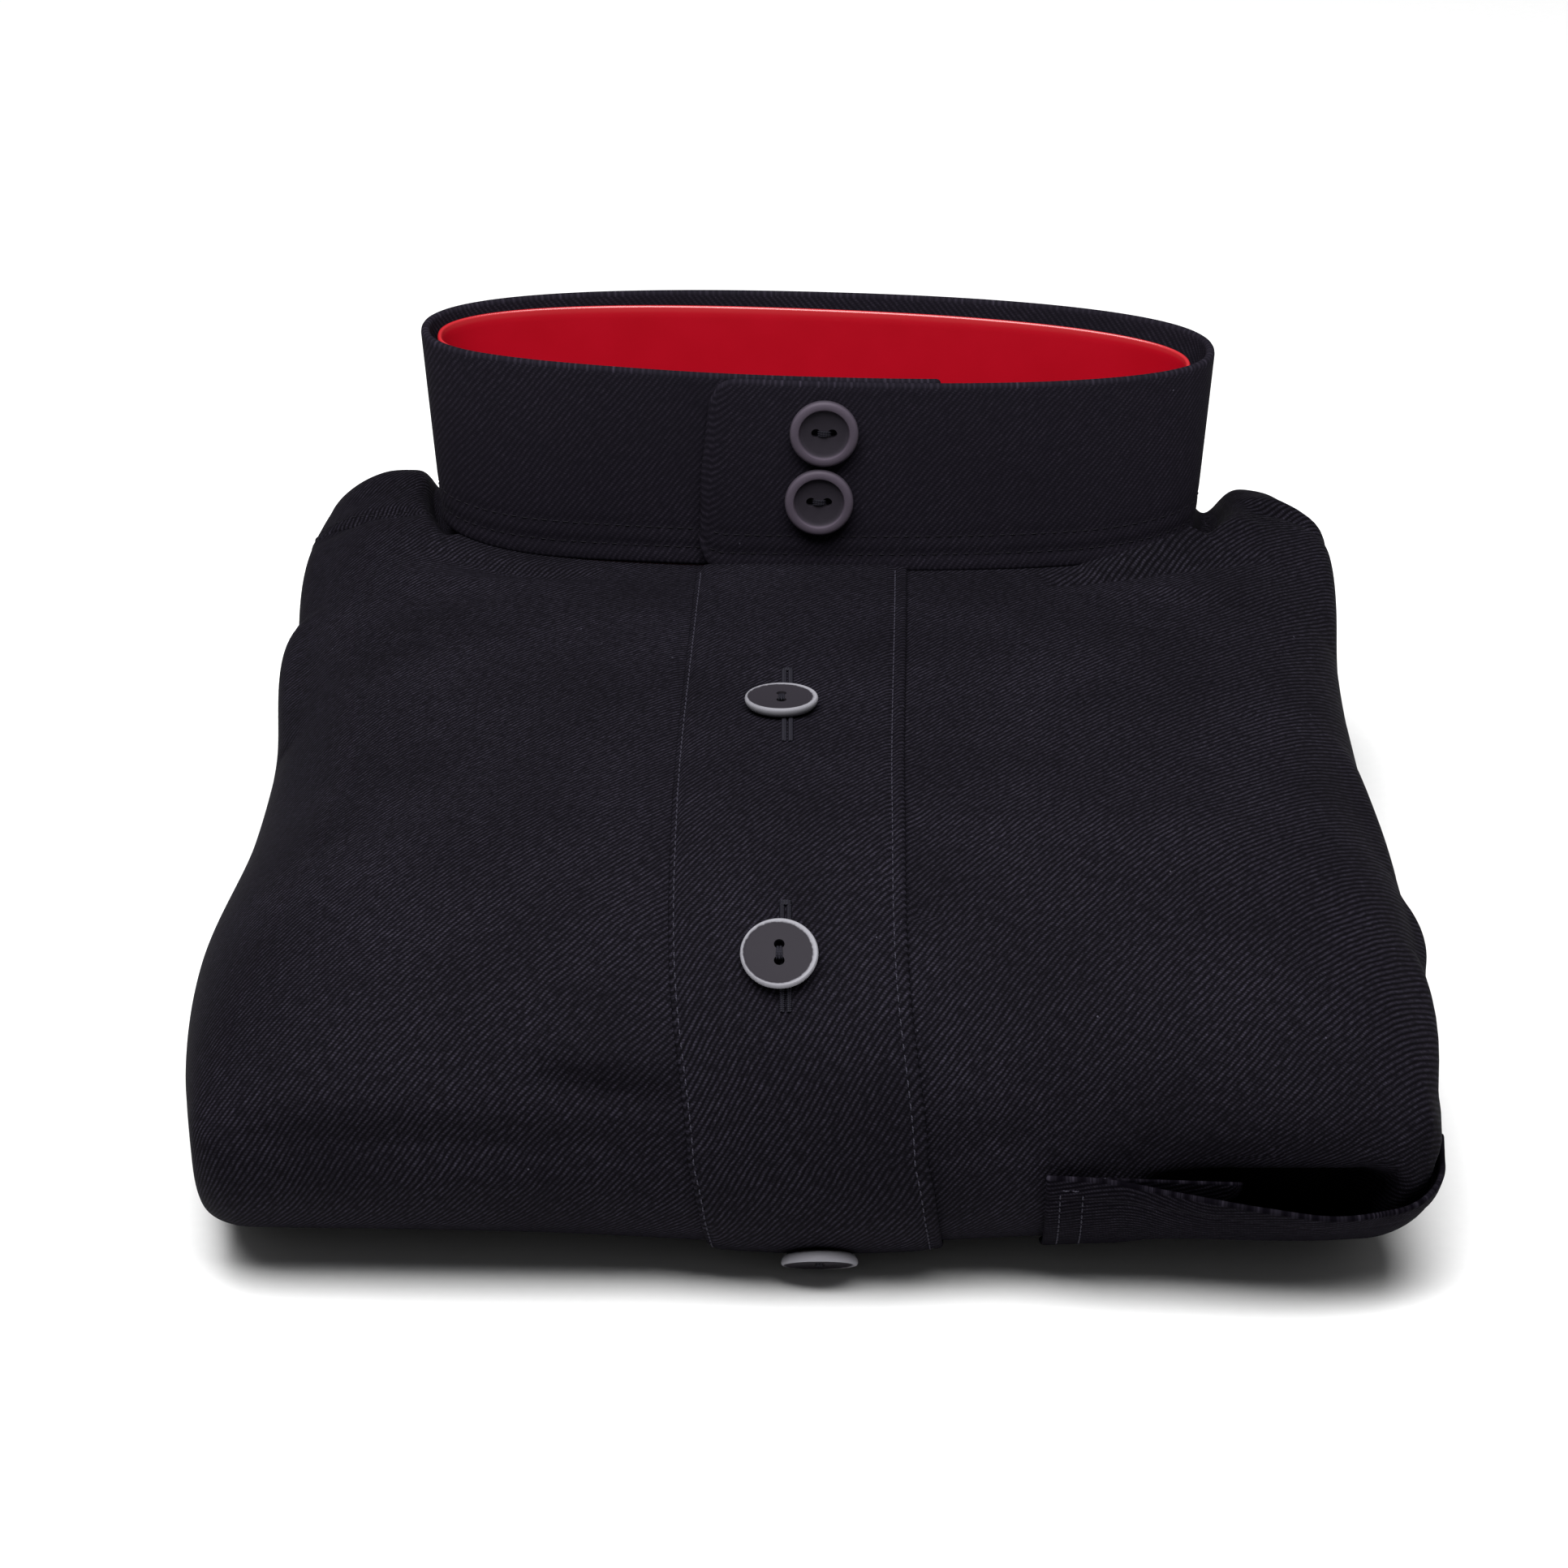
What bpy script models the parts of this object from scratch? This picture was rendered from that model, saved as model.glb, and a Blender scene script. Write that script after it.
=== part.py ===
"""A long stand-collar robe in dark twill, folded into a bundle with its collar standing up.

Lengths are in millimetres until a mesh is made. x runs across the bundle, y from its rounded front end
to its back, and z up from the surface that it lies on. The cloth is laid out on one shape, the bundle's
skin: a domed top, a widest line all round it, and an underside that curves in to the floor.
"""

import math

import bmesh
import bpy
import numpy as np
from mathutils import Matrix

MM = 0.001
CLOTH = 1.2
GAP = 0.3
BEDDING = 1.9  # from the skin in to the folded layers under it
BACK_BEDDING = 2.8
BACK_BEDDING_OVER = (-6.0, 12.0)  # from the shoulder seams, where it changes from one to the other

# Plan of the bundle
LENGTH = 285.8
POCKET_PROUD = 2.9  # of the length, at its front end
FRONT = -LENGTH / 2 + POCKET_PROUD
BACK = LENGTH / 2
HALF_WIDTH = 118.0
FRONT_CORNER = 8.0
BACK_CORNER = 30.0
CORNER_WEIGHT = 26.0  # millimetres of straight line that a radian of corner counts for in spacing columns
FRONT_BOW = 1.5
SEAM_Y = 103.0  # the shoulder seams' height up the sides

# Section of the bundle
EDGE_Z = 34.0  # height of the widest line
FRONT_REACH = 73.0  # how far the front end's rounding reaches back over the top
BACK_REACH = 30.0
FRONT_SQUARE = 2.2
BACK_SQUARE = 2.5
UNDER_X = (-120.0, -60.0, 0.0, 60.0, 120.0)
UNDER_REACH = (60.0, 58.0, 45.0, 56.0, 58.0)  # how far in the front end curves on its way to the floor
UNDER_SPAN = 100.0  # length of side that moves back with the front end's curve
UNDER_SQUARE = 2.1
UNDER_SIDE = (9.0, 2.8)  # reach and squareness of that curve at the sides
UNDER_RIGHT = (18.0, 2.0)  # more of it at the front end's right corner
UNDER_RIGHT_ENDS = (-122.0, -78.0)
UNDER_BACK = (11.0, 2.8)
UNDER_CORNER = 44.0  # width of front end that moves in with a side's curve
UNDER_WRAP = 66.0  # degrees that the fronts turn under at the front end
SIDE_WRAP = 6.0  # and along the sides and the back
WRAP_ENDS = (-92.0, -38.0)  # y where the front end's wrap begins and has run out
YOKE_WRAP = 10.0
FRONTNESS = 1.5  # power by which a corner counts less and less as front

# Half widths, crown and squareness of the shoulders along the bundle
STATION_COLUMNS = ("y", "left", "right", "crown", "left_square", "right_square")
STATIONS = (
    (-140.0, 121.5, 119.6, 83.0, 2.6, 3.2),
    (-108.0, 125.0, 122.0, 82.0, 2.4, 3.0),
    (-73.0, 125.5, 123.0, 81.0, 2.3, 3.0),
    (-23.0, 119.0, 118.5, 79.0, 2.6, 3.2),
    (32.0, 115.5, 116.0, 74.5, 4.0, 4.5),
    (72.0, 114.5, 116.3, 69.8, 6.0, 6.5),
    (102.0, 113.5, 117.5, 69.0, 7.0, 6.5),
    (140.0, 111.5, 115.5, 66.0, 7.0, 5.5),
)

# Soft swellings of the top: middle, half spread and height
SWELLING_COLUMNS = ("x", "y", "spread_x", "spread_y", "height")
SWELLINGS = (
    (-88.0, 91.0, 20.0, 22.0, 4.0),
    (88.0, 91.0, 20.0, 22.0, 4.0),
    (-92.0, 123.0, 24.0, 16.0, 4.5),
)

# Layers that show below the fronts at the sides and the back
FOOT_LAYER = (7.0, 7.0, 4.5, 5.0)  # middle height, half height, inset, depth of its groove
SLEEVE_LAYER = (21.8, 5.4, 3.2, 5.5)
LAYER_JOIN = 0.4  # above the foot layer, where the sleeves' layer takes over
LAYER_ROWS = (  # degrees under the widest line at the front end, height at the sides and back
    (84.0, 0.0),
    (76.0, 1.6),
    (69.0, 5.0),
    (62.0, 9.0),
    (55.0, 12.4),
    (48.0, 14.4),
    (41.0, 16.4),
    (34.0, 18.8),
    (27.0, 21.8),
    (20.0, 24.8),
    (13.0, 27.2),
    (6.0, 29.2),
)
FRONT_FOOT_INSET = 6.0  # how much further in the layers meet the floor at the front end
CORE_ROWS = 11  # of the layers' top
CORE_MARGIN = 4.0  # how much wider and deeper the layers are pressed in behind the pocket
FLOOR_SHARES = (0.35, 0.75)  # rings of the flat underside, out from its middle
CLOSING_SHARES = (0.6, 0.25)  # rings of the top inside the neck, in from its edge
SLEEVE_PROUD = {-1: 3.6, 1: 2.2}  # how far each sleeve stands out past the front, left and right
SLEEVE_FROM = -25.0
SLEEVE_TO = 101.0
SLEEVE_RISE = (8.0, 60.0)  # from its front end, where its fold comes out
SLEEVE_FALL = (-8.0, 14.0)  # from its back end, where it goes in again
SLEEVE_TURN = 72.0  # degrees that the fold turns, up and down
SLEEVE_CLEAR = 0.5

# Stand collar: half widths, half depths and heights of its foot and its rim
COLLAR_WALL = 2.0
COLLAR_X = 1.1
COLLAR_Y = 89.0
FOOT_SKEW = 0.028  # the foot is turned a little: its right end is further forward than its left
COLLAR_SQUARE = 2.25
FOOT_HALF = (84.5, 25.0)
RIM_HALF = (88.3, 26.5)
RIM_Y = 93.5
RIM_Z = 113.0
RIM_TILT = -2.6  # the rim's right end is lower than its left end, by twice this
RIM_BACK_RISE = 1.2
RIM_BACK_FROM = (77.0, 117.0)  # y over which it rises
LAP_ENDS = (196.0, 248.0)  # degrees between which the band comes out from under the tab's line
TAB_END_X = -26.4  # from the collar's middle, at the foot
TAB_LEAN = 2.6  # degrees round the collar by which its upper corner is set back
TAB_LEAN_OVER = 25.0
UNDERLAP_X = 25.0
TAB_CORNER = 4.5
COLLAR_REST = 0.6
COLLAR_LENGTH = 446.0  # along the rim, the lap included
COLLAR_HEIGHT = 41.0
NECK_HALF = (82.3, 22.8)  # the neck hole in the cloth under the collar

# Support strip inside the collar
SUPPORT_HALF = (80.6, 19.4)
SUPPORT_Y = 90.0
SUPPORT_WALL = 1.0
SUPPORT_BELOW_RIM = 2.2
SUPPORT_LEAN = 3.0  # backwards at its upper edge

# Placket: a strip down the left front's edge
PLACKET_HALF = 22.8
PLACKET_TOP = 62.9
PLACKET_WRAP = 64.0
PLACKET_STAND = CLOTH + 0.45  # from the fronts' face to the placket's
PLACKET_RUN_POWER = 1.7  # spaces the placket's rows closer where the front end turns down
MIDDLE_COLUMNS = ("run", "x")
PLACKET_MIDDLE = (
    (-1.0, 2.6),
    (-0.3, 0.6),
    (0.0, -1.8),
    (0.2, -5.2),
    (0.5, -5.6),
    (1.0, -2.6),
)

# Chest pocket, its mouth at the front end's lower right
POCKET_FROM = 44.5
POCKET_WRAP = 58.0
POCKET_CLEAR = 0.65  # from the front to the pocket where it lies flat
POCKET_FLARE = 2.2  # power by which it opens towards its mouth
POCKET_COLUMNS = ("along", "mouth", "gape")
POCKET_MOUTH = (  # millimetres round the outline, degrees under the widest line, millimetres off the front
    (0.0, 2.5, 1.6),
    (10.0, 3.5, 1.7),
    (25.0, 7.0, 3.2),
    (42.0, 10.5, 5.0),
    (58.0, 14.0, 4.8),
    (70.0, 14.0, 2.4),
    (80.0, 9.0, 0.9),
    (87.0, 5.0, 0.4),
)
HOLLOW_DEPTH = 11.0
HOLLOW_X = (58.0, 78.0, 106.0, 117.0)
HOLLOW_Y = (6.0, 14.0)  # back from the front end, where the pressed part runs out round the corner
HOLLOW_Z = (33.5, 26.0)  # where the pressed part begins, and where it is deepest
POCKET_TUCK = 2.0  # degrees that the pocket reaches further under than the front
HEM_WIDTH = 36.0
HEM_DEGREES = (4.5, 14.0)
HEM_FALL = 3.0
HEM_WALL = 0.8
HEM_STAND = 1.2

# Buttons; the columns of their profiles are shares of the radius and of the thickness
BUTTON_RADIUS = 7.6
BUTTON_THICK = 2.8
DISHED_FACE = ((0.0, 0.62), (0.71, 0.65), (0.77, 0.982))
FLAT_FACE = ((0.0, 0.9), (0.795, 0.936), (0.9, 0.982))
BUTTON_EDGE = ((0.908, 1.0), (1.0, 0.714), (0.934, 0.25), (0.62, 0.0), (0.0, 0.0))
BUTTON_SIDES = 24
HOLE_RADIUS = 1.05
HOLE_APART = 3.6
HOLE_SIDES = 8
BUTTON_SEAT = 0.35
COLLAR_BUTTON_SEAT = 0.5
COLLAR_BUTTONS = (("upper", -0.45, 0.762), ("lower", -0.7, 0.384))  # x from the middle, share of the height
PLACKET_BUTTONS = (("top", -7.0, 0.69), ("middle", -7.4, 0.243), ("low", 0.5, -0.52))  # x, run


def table(rows, columns, name):
    """One named column of a table."""
    return np.array([row[columns.index(name)] for row in rows])


def curve_through(at, known, values):
    """Smooth curve through a table's values: a cubic between rows, its slopes those of the neighbours."""
    slopes = np.gradient(values, known)
    row = np.clip(np.searchsorted(known, at) - 1, 0, len(known) - 2)
    span = known[row + 1] - known[row]
    t = np.clip((at - known[row]) / span, 0.0, 1.0)
    rise = values[row + 1] - values[row]
    start = slopes[row] * span
    end = slopes[row + 1] * span
    return values[row] + start * t + (3 * rise - 2 * start - end) * t**2 + (start + end - 2 * rise) * t**3


def step(at, low, high):
    """0 at low and 1 at high, with a smooth S between them."""
    t = np.clip((at - low) / (high - low), 0.0, 1.0)
    return t * t * (3 - 2 * t)


def station(name, y):
    """A column of the stations at any y."""
    return curve_through(y, table(STATIONS, STATION_COLUMNS, "y"), table(STATIONS, STATION_COLUMNS, name))


def dome(inset, reach, square):
    """0 at an edge and 1 from reach inwards, as a superellipse."""
    rest = 1 - np.clip(inset / reach, 0.0, 1.0)
    return (1 - rest**square) ** (1 / square)


def front_edge(x):
    """y of the front end's widest line, which bows back towards its corners."""
    return FRONT + FRONT_BOW * (x / HALF_WIDTH) ** 2


def top(x, y):
    """Height of the skin's top: the crown, let down to the widest line at the sides, front and back."""
    half = np.where(x < 0, station("left", y), station("right", y))
    square = np.where(x < 0, station("left_square", y), station("right_square", y))
    sides = dome(half - np.abs(x), half, square)
    ends = dome(y - front_edge(x), FRONT_REACH, FRONT_SQUARE) * dome(BACK - y, BACK_REACH, BACK_SQUARE)
    swelling = 0.0
    for middle_x, middle_y, spread_x, spread_y, height in SWELLINGS:
        swelling += height * np.exp(-(((x - middle_x) / spread_x) ** 2) - ((y - middle_y) / spread_y) ** 2)
    return EDGE_Z + (station("crown", y) - EDGE_Z + swelling) * sides * ends


def arc(centre, radius, start, end, count=24):
    """Points of a round corner."""
    angle = np.radians(np.linspace(start, end, count))
    return np.stack([centre[0] + radius * np.cos(angle), centre[1] + radius * np.sin(angle)], axis=1)


def sides_of(path):
    """The plan's own half widths put on a path that was drawn on the plain rectangle, and the front's bow."""
    x, y = path[:, 0], path[:, 1]
    half = np.where(x < 0, station("left", y), station("right", y))
    bow = FRONT_BOW * (x / HALF_WIDTH) ** 2 * step(-y, -FRONT_REACH - FRONT, -FRONT)
    return np.stack([x * half / HALF_WIDTH, y + bow], axis=1)


def front_path():
    """The widest line from the left shoulder seam round the front end to the right one."""
    inner_x, inner_y = HALF_WIDTH - FRONT_CORNER, FRONT + FRONT_CORNER
    return sides_of(
        np.concatenate(
            [
                np.stack([np.full(30, -HALF_WIDTH), np.linspace(SEAM_Y, inner_y, 30)], axis=1),
                arc((-inner_x, inner_y), FRONT_CORNER, 180, 270)[1:],
                np.stack([np.linspace(-inner_x, inner_x, 30), np.full(30, FRONT)], axis=1)[1:],
                arc((inner_x, inner_y), FRONT_CORNER, 270, 360)[1:],
                np.stack([np.full(30, HALF_WIDTH), np.linspace(inner_y, SEAM_Y, 30)], axis=1)[1:],
            ]
        )
    )


def back_path():
    """The widest line from the right shoulder seam round the back to the left one."""
    inner_x, inner_y = HALF_WIDTH - BACK_CORNER, BACK - BACK_CORNER
    return sides_of(
        np.concatenate(
            [
                [[HALF_WIDTH, SEAM_Y]],
                arc((inner_x, inner_y), BACK_CORNER, 0, 90),
                np.stack([np.linspace(inner_x, -inner_x, 20), np.full(20, BACK)], axis=1)[1:],
                arc((-inner_x, inner_y), BACK_CORNER, 90, 180)[1:],
                [[-HALF_WIDTH, SEAM_Y]],
            ]
        )
    )


def sampled(path, count):
    """count points along a path, closer where it turns, with its outward normals and the distance run."""
    run = np.diff(path, axis=0)
    length = np.linalg.norm(run, axis=1)
    heading = np.unwrap(np.arctan2(run[:, 1], run[:, 0]))
    turning = np.concatenate([[0.0], np.abs(np.diff(heading))])
    cost = np.concatenate([[0.0], np.cumsum(length + CORNER_WEIGHT * turning)])
    distance = np.concatenate([[0.0], np.cumsum(length)])
    at = np.linspace(0.0, cost[-1], count)
    points = np.stack([np.interp(at, cost, path[:, k]) for k in range(2)], axis=1)
    middle = (cost[1:] + cost[:-1]) / 2
    angle = np.interp(at, middle, heading)
    normals = np.stack([np.sin(angle), -np.cos(angle)], axis=1)
    return points, normals, np.interp(at, cost, distance)


def oval(half, centre_y, degrees, skew=0.0):
    """Points of the collar's superellipse at the given angles; the skew moves its right end forward."""
    angle = np.radians(degrees)
    across, along = np.cos(angle), np.sin(angle)
    x = half[0] * np.sign(across) * np.abs(across) ** (2 / COLLAR_SQUARE)
    y = centre_y + half[1] * np.sign(along) * np.abs(along) ** (2 / COLLAR_SQUARE)
    return np.stack([COLLAR_X + x, y - skew * x], axis=-1)


def frontness(normals):
    """1 where the widest line faces the front end and 0 where it faces a side or the back."""
    return np.clip(-normals[:, 1], 0.0, 1.0) ** FRONTNESS


def hollow(x, y, z, margin):
    """How far the front is pressed in behind the pocket's mouth; the margin widens and deepens it."""
    across = step(x, HOLLOW_X[0] - margin, HOLLOW_X[1] - margin)
    across = across * (1 - step(x, HOLLOW_X[2] + margin, HOLLOW_X[3] + margin))
    down = 1 - step(z, HOLLOW_Z[1] + margin, HOLLOW_Z[0] + margin)
    near = 1 - step(y - FRONT, *HOLLOW_Y)
    return (HOLLOW_DEPTH + margin / 2) * across * down * near


def curl(drop, square):
    """Share of the way in at that share of the way down, on a quarter superellipse."""
    return 1 - (1 - drop**square) ** (1 / square)


def under(points, degrees, pressed=True, margin=0.0):
    """A row of the skin below the widest line: it curves in along quarter superellipses to the floor."""
    x, y = points[:, 0], points[:, 1]
    half = np.where(x < 0, station("left", y), station("right", y))
    drop = np.sin(np.radians(degrees))
    z = EDGE_Z * (1 - drop)
    corner = UNDER_RIGHT[0] * curl(drop, UNDER_RIGHT[1]) * (x > 0) * (1 - step(y, *UNDER_RIGHT_ENDS))
    inward = (UNDER_SIDE[0] * curl(drop, UNDER_SIDE[1]) + corner) * step(np.abs(x), half - UNDER_CORNER, half)
    front_reach = curve_through(x, np.array(UNDER_X), np.array(UNDER_REACH))
    backward = front_reach * curl(drop, UNDER_SQUARE) * (1 - step(y - front_edge(x), 0.0, UNDER_SPAN))
    backward = backward - UNDER_BACK[0] * curl(drop, UNDER_BACK[1]) * step(y, BACK - UNDER_CORNER, BACK)
    if pressed:
        backward = backward + hollow(x, y, z, margin)
    return np.column_stack([x - np.sign(x) * inward, y + backward, z])


def over(points, neck, share):
    """A row of the skin's top, that share of the way from the widest line to the neck."""
    plan = points + (neck - points) * share
    height = top(plan[:, 0], plan[:, 1]) if share > 0 else np.full(len(plan), EDGE_Z)
    return np.column_stack([plan, height])


def skin(points, neck, wrap, under_rows, over_rows):
    """Rows of the skin from its lower edge, wrap degrees under the widest line, up to the neck."""
    rows = [under(points, wrap * (1 - k / under_rows)) for k in range(under_rows)]
    rows += [over(points, neck, (k / over_rows) ** 2) for k in range(over_rows + 1)]
    return np.array(rows)


def grid_normals(grid):
    """Unit normals of a grid of points, from its rows crossed with its columns."""
    down = np.gradient(grid, axis=0)
    along = np.gradient(grid, axis=1)
    normal = np.cross(along, down)
    return normal / np.maximum(np.linalg.norm(normal, axis=2, keepdims=True), 1e-9)


def side_wrap(points, normals):
    """How far round under the widest line the fronts turn: fully at the front end, hardly at the sides."""
    reach = 1 - step(points[:, 1], *WRAP_ENDS)
    return SIDE_WRAP + (UNDER_WRAP - SIDE_WRAP) * np.maximum(reach, frontness(normals))


def make_mesh(name, points, faces):
    """A mesh object from points in millimetres."""
    mesh = bpy.data.meshes.new(name)
    mesh.from_pydata((np.asarray(points, float) * MM).tolist(), [], faces)
    mesh.update()
    shape = bpy.data.objects.new(name, mesh)
    bpy.context.scene.collection.objects.link(shape)
    return shape


def grid_faces(rows, columns, flip=False):
    """Quads of a grid whose points are listed row by row."""
    faces = []
    for r in range(rows - 1):
        for c in range(columns - 1):
            a = r * columns + c
            quad = (a, a + 1, a + columns + 1, a + columns)
            faces.append(quad[::-1] if flip else quad)
    return faces


def sheet(name, grid, wall, flip=False):
    """A cloth piece: a grid of its outer face, given its wall inwards by Solidify."""
    rows, columns = grid.shape[:2]
    shape = make_mesh(name, grid.reshape(-1, 3), grid_faces(rows, columns, flip))
    shell = shape.modifiers.new("wall", "SOLIDIFY")
    shell.thickness = wall * MM
    shell.offset = -1.0
    shape.data.shade_smooth()
    return shape


def whole_plan(front_count, back_count):
    """The widest line all round, its normals, and the neck hole's points that belong to it."""
    front, front_normals, _ = sampled(front_path(), front_count)
    back, back_normals, _ = sampled(back_path(), back_count)
    front_neck = oval(NECK_HALF, COLLAR_Y, np.linspace(180, 360, front_count), FOOT_SKEW)
    back_neck = oval(NECK_HALF, COLLAR_Y, np.linspace(0, 180, back_count), FOOT_SKEW)
    return (front, front_normals, front_neck), (back, back_normals, back_neck)


def fronts(material):
    """The two fronts: each runs from its shoulder seam round its side to the middle of the front end."""
    (points, normals, neck), _ = whole_plan(59, 25)
    middle = len(points) // 2
    wrap = side_wrap(points, normals)
    grid = skin(points, neck, wrap, 7, 14)
    made = []
    for name, part in (("front_right", slice(0, middle)), ("front_left", slice(middle + 1, None))):
        piece = sheet(name, grid[:, part], CLOTH)
        piece.data.materials.append(material)
        made.append(piece)
    return made


def seam_clear(points, margin):
    """Points pulled back from the shoulder seams, so that the yoke lies clear of the fronts."""
    y = np.maximum(points[:, 1], SEAM_Y + margin)
    return np.column_stack([points[:, 0], y])


def back_yoke(material):
    """The yoke: from the shoulder seams over the back end."""
    _, (points, _, neck) = whole_plan(59, 25)
    points = seam_clear(points, 2 * GAP)
    neck[:, 1] = np.maximum(neck[:, 1], COLLAR_Y - FOOT_SKEW * (neck[:, 0] - COLLAR_X) + 2 * GAP)
    grid = skin(points, neck, np.full(len(points), YOKE_WRAP), 3, 9)
    piece = sheet("back_yoke", grid, CLOTH)
    piece.data.materials.append(material)
    return piece


def layer_inset(z, layer):
    """Inset of a folded layer's edge at height z: least at its middle, deepest in the grooves."""
    middle, half, inset, groove = layer
    across = np.clip((z - middle) / half, -1.0, 1.0)
    return inset + groove * (1 - np.sqrt(1 - across**2))


def sleeve_proud(points, normals):
    """How far a sleeve's fold stands out past the front above it."""
    y = points[:, 1]
    proud = np.where(points[:, 0] < 0, SLEEVE_PROUD[-1], SLEEVE_PROUD[1])
    rising = step(y - SLEEVE_FROM, *SLEEVE_RISE)
    falling = 1 - step(y - SLEEVE_TO, *SLEEVE_FALL)
    return proud * rising * falling * np.abs(normals[:, 0])


def layered_row(points, normals, height, front_row):
    """A row of the folded layers' edge: layers at the sides and back, the fronts' own curve at the front."""
    z = np.full(len(points), height)
    foot, sleeve = layer_inset(z, FOOT_LAYER), layer_inset(z, SLEEVE_LAYER)
    join = FOOT_LAYER[0] + FOOT_LAYER[1] + LAYER_JOIN
    inset = np.where(z < join, foot, sleeve - sleeve_proud(points, normals))
    side_row = np.column_stack([points - normals * inset[:, None], z])
    share = np.maximum(1 - step(points[:, 1], *WRAP_ENDS), frontness(normals))[:, None]
    return side_row * (1 - share) + front_row * share


def ring_faces(rows, count, first=0):
    """Quads between closed rings of count points each, listed ring by ring."""
    faces = []
    for r in range(rows - 1):
        for c in range(count):
            here = first + r * count + c
            beside = first + r * count + (c + 1) % count
            faces.append((here, beside, beside + count, here + count))
    return faces


def cap_faces(ring_start, count, middle, facing_up):
    """Triangles from a ring of points to one point in its middle."""
    faces = []
    for c in range(count):
        here, beside = ring_start + c, ring_start + (c + 1) % count
        faces.append((here, beside, middle) if facing_up else (beside, here, middle))
    return faces


def bedded_rows(points, neck):
    """Rows of the skin all round, moved in to where the folded layers begin."""
    points = np.concatenate([points[-1:], points, points[:1]])
    neck = np.concatenate([neck[-1:], neck, neck[:1]])
    below = [under(points, np.full(len(points), degrees), margin=CORE_MARGIN) for degrees, _ in LAYER_ROWS]
    above = [over(points, neck, (k / CORE_ROWS) ** 2) for k in range(CORE_ROWS + 1)]
    outer = np.array(below + above)
    depth = BEDDING + (BACK_BEDDING - BEDDING) * step(outer[:, :, 1:2] - SEAM_Y, *BACK_BEDDING_OVER)
    return (outer - grid_normals(outer) * depth)[:, 1:-1]


def folded_layers(material):
    """Everything that is folded away, as one rounded solid with a flat underside and layered edges."""
    (front, front_normals, front_neck), (back, back_normals, back_neck) = whole_plan(53, 21)
    points = np.concatenate([front, back[1:-1]])
    normals = np.concatenate([front_normals, back_normals[1:-1]])
    neck = np.concatenate([front_neck, back_neck[1:-1]])
    bedded = bedded_rows(points, neck)
    rows = [layered_row(points, normals, height, bedded[k]) for k, (_, height) in enumerate(LAYER_ROWS)]
    rows[0][:, :2] -= normals * frontness(normals)[:, None] * FRONT_FOOT_INSET
    rows[0][:, 2] = 0.0
    rows += list(bedded[len(LAYER_ROWS) :])
    floor = [rows[0] * (share, share, 0.0) for share in FLOOR_SHARES]
    centre = np.array([COLLAR_X, COLLAR_Y])
    closing = []
    for share in CLOSING_SHARES:
        plan = centre + (rows[-1][:, :2] - centre) * share
        closing.append(np.column_stack([plan, top(plan[:, 0], plan[:, 1]) - BEDDING]))
    grid = np.array(floor + rows + closing)
    rings, count = grid.shape[:2]
    ends = np.array([[0.0, 0.0, 0.0], [*centre, float(top(*centre)) - BEDDING]])
    faces = ring_faces(rings, count)
    faces += cap_faces(0, count, rings * count, False)
    faces += cap_faces((rings - 1) * count, count, rings * count + 1, True)
    shape = make_mesh("folded_layers", np.concatenate([grid.reshape(-1, 3), ends]), faces)
    shape.data.shade_smooth()
    shape.data.materials.append(material)
    return shape


def sleeve(side, material):
    """A sleeve folded in along one side: a rounded fold, wrapped round the layer that fills it."""
    name = "sleeve_left" if side < 0 else "sleeve_right"
    y = np.linspace(SLEEVE_FROM, SLEEVE_TO, 15)
    half = station("left" if side < 0 else "right", y)
    points = np.column_stack([side * half, y])
    normals = np.column_stack([np.full(len(y), float(side)), np.zeros(len(y))])
    proud = sleeve_proud(points, normals)
    middle, high, inset, deep = SLEEVE_LAYER
    wall = CLOTH + SLEEVE_CLEAR
    rows = []
    for degrees in np.linspace(-SLEEVE_TURN, SLEEVE_TURN, 11):
        angle = math.radians(degrees)
        out = half - inset + proud - (deep + wall) * (1 - math.cos(angle)) + wall
        z = middle + (high + wall) * math.sin(angle)
        rows.append(np.column_stack([side * out, y, np.full(len(y), z)]))
    piece = sheet(name, np.array(rows), CLOTH, flip=side < 0)
    piece.data.materials.append(material)
    return piece


def tab_end():
    """The angle at which the tab ends at the foot."""
    return -90 - math.degrees(math.asin((-TAB_END_X / FOOT_HALF[0]) ** (COLLAR_SQUARE / 2)))


def collar_path(count):
    """Angles round the collar, from the end under the tab, round the back, to the tab's end."""
    start = 270 + math.degrees(math.asin((UNDERLAP_X / FOOT_HALF[0]) ** (COLLAR_SQUARE / 2)))
    return np.linspace(start, tab_end(), count)


def collar_lap(degrees):
    """How far the band runs inside its outer line: under the tab by a wall, and out again by the back."""
    return (COLLAR_WALL + 2 * GAP) * step(degrees, *LAP_ENDS)


def collar_line(degrees, share):
    """The collar's outer face at that share of its height."""
    foot = oval(FOOT_HALF, COLLAR_Y, degrees, FOOT_SKEW)
    lean = TAB_LEAN * (1 - step(degrees, tab_end(), tab_end() + TAB_LEAN_OVER))
    rim = oval(RIM_HALF, RIM_Y, degrees + lean)
    foot_z = top(foot[:, 0], foot[:, 1]) + COLLAR_REST
    rim_z = RIM_Z + RIM_TILT * rim[:, 0] / RIM_HALF[0] + RIM_BACK_RISE * step(rim[:, 1], *RIM_BACK_FROM)
    low = np.column_stack([foot, foot_z])
    high = np.column_stack([rim, rim_z])
    out = (foot - np.array([COLLAR_X, COLLAR_Y])) / np.array(FOOT_HALF) ** 2
    out = out / np.linalg.norm(out, axis=1, keepdims=True)
    row = low + (high - low) * np.asarray(share)[:, None]
    row[:, :2] -= out * collar_lap(degrees)[:, None]
    return row


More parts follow.
